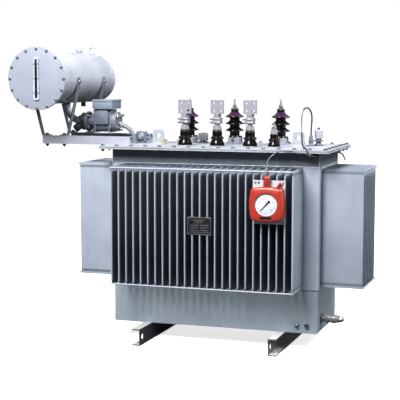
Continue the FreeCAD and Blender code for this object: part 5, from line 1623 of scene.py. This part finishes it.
@dataclass
class CoverFittings:
    """Tap changer, lugs, relief valve, thermometer pocket, filling valve and strap on the cover."""

    def build(self) -> None:
        """Build every fitting."""
        self.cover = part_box("cover_plate")[1].z
        self.tap_changer()
        self.lugs()
        self.relief_valve()
        self.pocket()
        self.filling_valve()
        self.strap()

    def tap_changer(self) -> None:
        """Ribbed knob on a flanged foot, with a nut on top."""
        centre = middle_of("tap_changer_handle")
        place = aimed((centre.x, centre.y, self.cover))
        piece = Piece("tap_changer", PLATED, ZINC, DARK_BOLT)
        profile = profile_mm(0, 0, 33, 0, 33, 7, 30, 8, 20, 9, 20, 16, 28.5, 17, 28.5, 58, 26, 62, 12, 64, 0, 64)
        piece.add(Stock.turned(profile, 0.001, 64), place, 2)
        piece.add(Stock.block((0.006, 0.0048, 0.042), 0.0015), ring_of(place, 18, 0.0295, 0.038))
        piece.add(Stock.nut(0.014, 0.004), place @ moved(0, 0, 0.0595), 1)
        piece.finish("tap_changer_handle")

    def lugs(self) -> None:
        """Dress the lifting lugs and run their weld beads."""
        dress(COVER, "lifting_lugs")
        low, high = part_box("lifting_lugs")
        piece = Piece("lug_welds", COVER, BRASS)
        long, half, bead = 0.078, 0.025, 0.006
        for x in (low.x, high.x - long):
            Fasteners.weld_square(piece, (x, -half), (x + long, half), self.cover + 0.001, bead)
            z = self.cover + 0.0065
            for y in (-0.0075, 0.0075):
                Fasteners.weld(piece, (x + bead, y, z), (x + long - bead, y, z), bead)
        spot = aimed((low.x + 0.092, -0.060, self.cover))
        piece.add(Stock.rod(0.010, 0.012, 0.001, 28), spot, 1)
        piece.add(Stock.nut(0.019, 0.009), spot @ moved(0, 0, 0.012), 1)
        piece.finish()

    def relief_valve(self) -> None:
        """Relief valve: flange with bolts, neck, wide disc, can and top knob."""
        centre = middle_of("pressure_relief_valve")
        place = aimed((centre.x, centre.y, self.cover))
        piece = Piece("relief_valve", RELIEF, DARK_BOLT, COVER)
        profile = profile_mm(0, 0, 26, 0, 26, 6, 19, 7, 14, 18, 14, 25, 25, 27, 28, 28, 28, 33, 25, 34, 16, 36,
                             16, 45, 0, 45)
        piece.add(Stock.turned(profile, 0.0008, 56), place)
        can = profile_mm(0, 0, 22, 0, 24, 2, 24, 45, 21, 50, 10, 52, 0, 52)
        piece.add(Stock.turned(can, 0.0008, 56), place @ moved(0, 0, 0.0440), 2)
        knob = profile_mm(0, 0, 6, 0, 6, 5, 9, 7, 9, 11, 6, 13, 0, 13)
        piece.add(Stock.turned(knob, 0.0006, 32), place @ moved(0, 0, 0.095), 1)
        Fasteners.bolt_head(piece, 0.004, ring_of(place, 6, 0.0225, 0.006), 1, washer=False)
        piece.finish("pressure_relief_valve")

    def pocket(self) -> None:
        """Thermometer pocket with its hexagon and gland nut."""
        centre, top = middle_of("thermometer_pocket"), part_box("thermometer_pocket")[1].z
        place = aimed((centre.x, centre.y, self.cover))
        tall = top - self.cover
        piece = Piece("pocket", GREY_IRON, ZINC)
        profile = [(0.0, 0.0), (0.021, 0.0), (0.021, 0.006), (0.014, 0.008), (0.012, 0.020), (0.012, tall - 0.014),
                   (0.009, tall - 0.010), (0.009, tall), (0.0, tall)]
        piece.add(Stock.turned(profile, 0.0008, 40), place)
        piece.add(Stock.nut(0.029, 0.016), place @ moved(0, 0, 0.023), 1)
        piece.add(Stock.nut(0.021, 0.009), place @ moved(0, 0, tall - 0.017), 1)
        piece.finish("thermometer_pocket")

    def filling_valve(self) -> None:
        """Square valve body with a round cap to the front and a neck beside it."""
        low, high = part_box("filling_valve")
        piece = Piece("fill_valve", CASTING, PLATED, ZINC, RUBBER)
        size, deep = 0.066, 0.032
        x, y, z = low.x + size / 2, high.y - deep / 2, high.z - size / 2
        piece.add(Stock.rounded_plate(size, size, deep, 0.014, 0.003), aimed((x, y + deep / 2, z), Axis.FRONT))
        cap = profile_mm(0, 0, 24, 0, 24, 3, 18, 5, 18, 17, 16, 19.5, 0, 19.5)
        face = aimed((x, y - deep / 2, z), Axis.FRONT)
        piece.add(Stock.turned(cap, 0.0008, 48), face)
        piece.add(Stock.washer(0.0275, 0.0235, 0.002, 0.0005, 48), face, 3)
        piece.add(Stock.nut(0.016, 0.003), aimed((x, y - 0.0335, z), Axis.FRONT), 1)
        piece.add(Stock.block((0.048, 0.028, 0.012), 0.003), moved(x, y, self.cover + 0.006))
        neck = profile_mm(0, 0, 12, 0, 12, 6, 9.5, 8, 9.5, 48, 12, 50, 12, 58, 9, 60, 0, 60)
        piece.add(Stock.turned(neck, 0.0008, 32), aimed((high.x - 0.012, y, self.cover)))
        piece.add(Stock.rod(0.008, 0.034, 0.001, 28), aimed((x + size / 2 - 0.006, y, z - 0.008), Axis.X))
        screws = corners_of((x, y - deep / 2, z), 0.024, 0.024, Axis.FRONT, 8.0)
        Fasteners.bolt_head(piece, 0.006, screws, 2, washer=False)
        piece.finish("filling_valve")

    def strap(self) -> None:
        """Small bent strap under the cover at the rear right corner."""
        low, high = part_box("tank_flange")
        piece = Piece("corner_strap", DARK_BOLT)
        bends = ((-0.066, 0.002), (-0.066, -0.030), (-0.040, -0.036), (-0.020, -0.074))
        path = Stock.rounded_path([(high.x + x, high.y - 0.054, low.z + z) for x, z in bends], 0.012, 6)
        piece.add(Stock.swept(path, [0.0042], 12))
        piece.finish()


@dataclass
class Thermometer:
    """Dial thermometer on the fin tips, with its bracket, neck, prong and line clip."""

    dial: float = 0.060
    recess: float = 0.010
    set_back: float = 0.0006
    number_radius: float = 0.040
    print_thick: float = 0.0003
    needle_turn: float = 137.0

    def build(self) -> None:
        """Build the case with its dial, the bracket and the clip."""
        low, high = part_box("thermometer_case")
        bracket_low, bracket_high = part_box("thermometer_bracket")
        self.front, self.back = low.y + self.set_back, high.y
        self.x = (low.x + high.x) / 2
        self.size = high.x - low.x
        self.z = low.z + self.size / 2
        self.neck_top = high.z
        self.case()
        self.face()
        self.bracket(bracket_low, bracket_high)
        clip_low, clip_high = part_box("line_clip")
        piece = Piece("clip", GREY_IRON)
        middle = (clip_low + clip_high) / 2
        piece.add(Stock.rounded_plate(clip_high.x - clip_low.x, clip_high.z - clip_low.z, clip_high.y - clip_low.y,
                                      0.008, 0.0015), aimed((middle.x, clip_high.y, middle.z), Axis.FRONT))
        piece.finish("line_clip")

    def cushion(self, half: float, bulge: float, corner: float) -> list[tuple[float, float]]:
        """Outline of a square whose sides bulge between rounded corners."""
        outline = []
        for quarter in range(4):
            turn = Matrix.Rotation(math.radians(90.0 * quarter), 2)
            side = [Vector((half - corner + corner * math.sin(math.radians(a)),
                            -(half - corner) - corner * math.cos(math.radians(a)))) for a in (15, 35, 55, 75)]
            arch = [Vector((half + bulge * (1.0 - (t * t)), t * (half - corner))) for t in
                    (-0.75, -0.5, -0.25, 0.0, 0.25, 0.5, 0.75)]
            outline += [tuple(turn @ p) for p in side + arch]
        return outline

    def case(self) -> None:
        """Red moulded case with its bezel, neck and prong."""
        half = self.size / 2
        place = aimed((self.x, self.back, self.z), Axis.FRONT)
        deep = self.back - self.front
        piece = Piece("dial_case", RED, RUBBER)
        outline = self.cushion(half - 0.008, 0.008, 0.017)
        shape = bmesh.new()
        face = shape.faces.new([shape.verts.new((x, y, 0.0)) for x, y in outline])
        levels = ((deep - 0.013, 0.0), (0.006, 0.0022), (0.004, 0.0034), (0.003, 0.0062))
        for step, (rise, inset) in enumerate(levels):
            raised = bmesh.ops.extrude_face_region(shape, geom=[face])["geom"]
            if step:
                bmesh.ops.delete(shape, geom=[face], context="FACES_ONLY")
            face = next(g for g in raised if isinstance(g, bmesh.types.BMFace))
            bmesh.ops.translate(shape, vec=Vector((0.0, 0.0, rise)), verts=face.verts)
            centre = face.calc_center_median()
            share = 1.0 - inset / half
            bmesh.ops.scale(shape, vec=Vector((share, share, 1.0)), verts=face.verts,
                            space=Matrix.Translation(-centre))
        hole = bmesh.ops.create_circle(shape, cap_ends=False, segments=64, radius=self.dial + 0.004,
                                       matrix=moved(0.0, 0.0, deep))["verts"]
        inner = [e for e in shape.edges if all(v in hole for v in e.verts)]
        outer = list(face.edges)
        bmesh.ops.delete(shape, geom=[face], context="FACES_ONLY")
        bmesh.ops.bridge_loops(shape, edges=inner + outer)
        walled = bmesh.ops.extrude_edge_only(shape, edges=inner)["geom"]
        floor = [v for v in walled if isinstance(v, bmesh.types.BMVert)]
        bmesh.ops.translate(shape, vec=Vector((0.0, 0.0, -self.recess)), verts=floor)
        bmesh.ops.scale(shape, vec=Vector((0.975, 0.975, 1.0)), verts=floor)
        bmesh.ops.contextual_create(shape, geom=[e for e in shape.edges if all(v in floor for v in e.verts)])
        bmesh.ops.recalc_face_normals(shape, faces=shape.faces)
        piece.add(shape, place)
        neck_x, neck_y = self.x - 0.004, (self.back + self.front) / 2
        neck = profile_mm(0, 0, 17, 0, 17, 40, 18.5, 42, 18.5, 52, 16, 55, 16, 59.5, 9, 62, 0, 62)
        start = self.neck_top - 0.062
        piece.add(Stock.turned(neck, 0.0008, 40), aimed((neck_x, neck_y, start)))
        piece.add(Stock.rod(0.0075, 0.010, 0.001, 24), aimed((neck_x, neck_y, self.neck_top - 0.0105)), 1)
        self.prong(piece)
        piece.finish("thermometer_case", smooth=40.0)

    def prong(self, piece: Piece) -> None:
        """Two-legged prong that stands out of the case's upper right corner."""
        root = Vector((self.x + 0.068, self.front + 0.016, self.z + 0.088))
        way = Vector((0.50, 0.0, 0.86)).normalized()
        across = Vector((0.86, 0.0, -0.50)).normalized()
        for side in (-1, 1):
            begin = root + across * side * 0.0085
            piece.add(Stock.swept([begin, begin + way * 0.020, begin + way * 0.034, begin + way * 0.038],
                                  [0.0062, 0.0060, 0.0052, 0.0030], 16))
        piece.add(Stock.swept([root, root + way * 0.032], [0.0038], 12), skin=1)

    def face(self) -> None:
        """White dial with marks, numbers and a needle, its rim, and the black strip under it."""
        floor = self.front + self.recess
        place = aimed((self.x, floor, self.z), Axis.FRONT)
        piece = Piece("dial_face", DIAL_WHITE, DIAL_BLACK)
        piece.add(Stock.rod(self.dial + 0.001, 0.0012, 0.0002, 64), place)
        printed = place @ moved(0.0, 0.0, 0.0013)
        for i in range(33):
            long, wide = (0.0080, 0.0016) if i % 4 == 0 else (0.0045, 0.0008)
            mark = spun(-225.0 + 270.0 * i / 32) @ moved(self.dial - 0.006 - long / 2, 0.0, 0.0)
            piece.add(Stock.block((long, wide, self.print_thick)), printed @ mark, 1)
        for i, text in enumerate(("120", "90", "60", "30", "0")):
            turn = math.radians(-45.0 + 67.5 * i)
            spot = moved(math.cos(turn) * self.number_radius, math.sin(turn) * self.number_radius, 0.0)
            self.number(piece, text, printed @ spot)
        needle = [(-0.0034, -0.022), (0.0034, -0.022), (0.0034, 0.004), (0.0024, 0.022), (0.0012, 0.047),
                  (-0.0012, 0.047), (-0.0024, 0.022), (-0.0034, 0.004)]
        lean = place @ moved(0.0, 0.0, 0.0036) @ spun(self.needle_turn)
        piece.add(Stock.plate(needle, 0.0008, 0.0002, 1), lean, 1)
        tail = lean @ moved(0.0, -0.024, 0.0)
        piece.add(Stock.rod(0.0068, 0.0010, 0.0002, 28), tail, 1)
        piece.add(Stock.turned(profile_mm(0, 0, 4, 0, 4, 3.4, 2.8, 4.6, 0, 4.6), 0.0004, 24), printed, 1)
        piece.finish()
        strip = Piece("dial_strip", BLACK_PLATE)
        strip.add(Stock.rounded_plate(0.066, 0.016, 0.0030, 0.002, 0.0005),
                  aimed((self.x, self.front + 0.0028, self.z - 0.073), Axis.FRONT))
        strip.finish()
        rim = Piece("dial_rim", DIAL_WHITE)
        rim.add(Stock.washer(self.dial + 0.0028, self.dial - 0.0010, 0.0022, 0.0005, 72),
                aimed((self.x, floor - 0.0010, self.z), Axis.FRONT))
        rim.finish()

    def number(self, piece: Piece, text: str, place: Matrix) -> None:
        """Add one raised number of the dial, centred on its place."""
        curve = bpy.data.curves.new("number", "FONT")
        curve.body, curve.size, curve.align_x, curve.align_y = text, 0.0095, "CENTER", "CENTER"
        curve.resolution_u = 2
        holder = linked("number", curve)
        bpy.context.view_layer.update()
        flat = bpy.data.meshes.new_from_object(holder.evaluated_get(bpy.context.evaluated_depsgraph_get()))
        shape = bmesh.new()
        shape.from_mesh(flat)
        bpy.data.objects.remove(holder)
        bpy.data.curves.remove(curve)
        bpy.data.meshes.remove(flat)
        bmesh.ops.remove_doubles(shape, verts=shape.verts, dist=1e-6)
        Stock.thicken(shape, shape.faces[:], self.print_thick)
        piece.add(shape, place, 1)

    def bracket(self, low: Vector, high: Vector) -> None:
        """Pressed plate behind the case, with its screws and a dark square."""
        piece = Piece("dial_bracket", BRACKET, ZINC, RUBBER)
        x, z = (low.x + high.x) / 2, (low.z + high.z) / 2
        piece.add(Stock.rounded_plate(high.x - low.x, high.z - low.z, high.y - low.y, 0.005, 0.0006),
                  aimed((x, high.y, z), Axis.FRONT))
        spots = [aimed((low.x + 0.014 + i * (high.x - low.x - 0.028) / 2, low.y, level), Axis.FRONT, 20.0)
                 for i in (0, 2) for level in (high.z - 0.012, low.z + 0.010)]
        Fasteners.bolt_head(piece, 0.006, spots, 1)
        # Dark square: painted shade standing for the inside of a square hole in the plate.
        slot = moved(low.x + 0.034, low.y, high.z - 0.014)
        piece.add(Stock.block((0.011, 0.0012, 0.011), 0.0004), slot, 2)
        piece.finish("thermometer_bracket")


@dataclass
class SmallFittings:
    """Nameplate, drain valve and earth terminals on the tank's walls."""

    def build(self) -> None:
        """Build the three."""
        self.nameplate()
        self.drain_valve()
        dress(ZINC, "earth_terminals")
        piece = Piece("earth_bolt", ZINC, RUBBER)
        low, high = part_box("earth_terminals")
        spot = aimed((low.x + 0.014, low.y, (low.z + high.z) / 2), Axis.FRONT, 12.0)
        piece.add(Stock.turned(profile_mm(0, 0, 12.5, 0, 12.5, 2, 10.5, 6, 6, 9, 0, 9.6), 0.0005, 36), spot)
        # Dark ring at the second boss's hole: painted shade of the threaded hole.
        hole = aimed((high.x - 0.014, low.y + 0.0006, (low.z + high.z) / 2), Axis.FRONT)
        piece.add(Stock.washer(0.0095, 0.0058, 0.0010, 0.0003), hole, 1)
        piece.finish()

    def nameplate(self) -> None:
        """Black plate with a bright edge, blank fields and corner rivets."""
        low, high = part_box("nameplate")
        width, height, thick = high.x - low.x, high.z - low.z, high.y - low.y
        x, z = (low.x + high.x) / 2, (low.z + high.z) / 2
        piece = Piece("rating_plate", BLACK_PLATE, ZINC)
        piece.add(Stock.rounded_plate(width - 0.0006, height - 0.0006, thick - 0.0005, 0.004, 0.0003),
                  aimed((x, high.y, z), Axis.FRONT))
        front = low.y + 0.0005
        bar = 0.0018
        for s in (-1, 1):
            piece.add(Stock.block((width - 0.004, 0.0006, bar)), moved(x, front, z + s * (height / 2 - 0.003)), 1)
            piece.add(Stock.block((bar, 0.0006, height - 0.006)), moved(x + s * (width / 2 - 0.003), front, z), 1)
        rows = [(0.030, 0.0, 0.070), (0.020, 0.0, 0.040), (0.004, -0.031, 0.052), (0.004, 0.031, 0.052),
                (-0.010, -0.031, 0.052), (-0.010, 0.031, 0.052), (-0.024, -0.031, 0.052), (-0.024, 0.031, 0.052),
                (-0.036, 0.0, 0.112)]
        for rise, shift, long in rows:
            piece.add(Stock.block((long, 0.0004, 0.0011)), moved(x + shift, front, z + rise), 1)
        rivets = corners_of((x, front, z), width / 2 - 0.008, height / 2 - 0.008, Axis.FRONT)
        piece.add(Stock.turned(profile_mm(0, 0, 2.4, 0, 1.8, 0.4, 0, 0.5), 0.0, 16), rivets, 1)
        piece.finish("nameplate")

    def drain_valve(self) -> None:
        """Flanged drain valve with its sampling plug."""
        low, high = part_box("drain_valve")
        place = aimed((low.x, (low.y + high.y) / 2, (low.z + high.z) / 2), Axis.X)
        piece = Piece("drain", GREY_IRON, ZINC)
        profile = profile_mm(0, 0, 28, 0, 28, 8, 19, 10, 18, 30, 26, 32, 27, 37, 25, 40, 22.5, 46, 22.5, 60,
                             25, 64, 25, 90, 21, 93, 21, 108, 0, 108)
        piece.add(Stock.turned(profile, 0.0009, 56), place)
        piece.add(Stock.block((0.0010, 0.004, 0.020), 0.0004, 1), ring_of(place, 15, 0.0245, 0.077))
        long = 0.108
        tip = high.x - low.x - long
        piece.add(Stock.nut(0.033, tip * 0.7), place @ moved(0, 0, long), 1)
        piece.add(Stock.rod(0.010, tip, 0.001, 24), place @ moved(0, 0, long), 1)
        Fasteners.bolt_head(piece, 0.005, ring_of(place, 4, 0.0235, 0.009, 45.0), 1, washer=False)
        piece.finish("drain_valve")


CASE_LINE = (
    (0.388, -0.507, 1.027), (0.388, -0.505, 1.051), (0.384, -0.484, 1.076), (0.378, -0.445, 1.096),
    (0.377, -0.402, 1.114), (0.386, -0.362, 1.131), (0.406, -0.338, 1.146), (0.436, -0.329, 1.154),
    (0.471, -0.327, 1.156), (0.506, -0.328, 1.153), (0.540, -0.330, 1.147), (0.570, -0.329, 1.139),
    (0.594, -0.318, 1.130), (0.612, -0.297, 1.122), (0.618, -0.276, 1.117), (0.619, -0.2605, 1.114),
)
BULB_LINE = (
    (0.512, 0.040, 1.224), (0.512, 0.040, 1.258), (0.515, 0.041, 1.294), (0.517, 0.038, 1.334),
    (0.511, 0.027, 1.369), (0.497, 0.007, 1.387), (0.482, -0.016, 1.381), (0.474, -0.030, 1.351),
    (0.472, -0.034, 1.313), (0.474, -0.038, 1.273), (0.478, -0.052, 1.230), (0.487, -0.084, 1.194),
    (0.503, -0.132, 1.172), (0.524, -0.190, 1.164), (0.545, -0.250, 1.166), (0.560, -0.298, 1.170),
    (0.573, -0.328, 1.160), (0.582, -0.338, 1.136), (0.590, -0.324, 1.117), (0.594, -0.298, 1.112),
    (0.596, -0.278, 1.113), (0.597, -0.2605, 1.114),
)

# Start and end along the line, from 0 to 1, and the finish's index. The last dark stretch, from the lug down, is
# painted shade on the same sheath.
BULB_SLEEVES_AND_SHADE = ((0.0, 0.15, 1), (0.15, 0.27, 2), (0.44, 1.0, 2))


def main() -> None:
    """Build the studio, the two lines and then the transformer from the ground up."""
    logging.basicConfig(level=logging.INFO, format="%(name)s: %(message)s")
    for spare in [o for o in bpy.data.objects if o.name in ("Cube", "Light", "Camera")]:
        bpy.data.objects.remove(spare)
    Studio().build()
    for part in (RibbedLine("case_line", "thermometer_line", CASE_LINE, 0.480),
                 RibbedLine("pocket_line", "bulb_line", BULB_LINE, 0.780, sleeves_and_shade=BULB_SLEEVES_AND_SHADE),
                 Carriage(), Tank(), CoolingWalls(), Conservator(), RelayLine(), HighBushings(), LowBushings(),
                 CoverFittings(), Thermometer(), SmallFittings()):
        LOG.info("building %s", type(part).__name__)
        part.build()


if __name__ == "__main__":
    main()
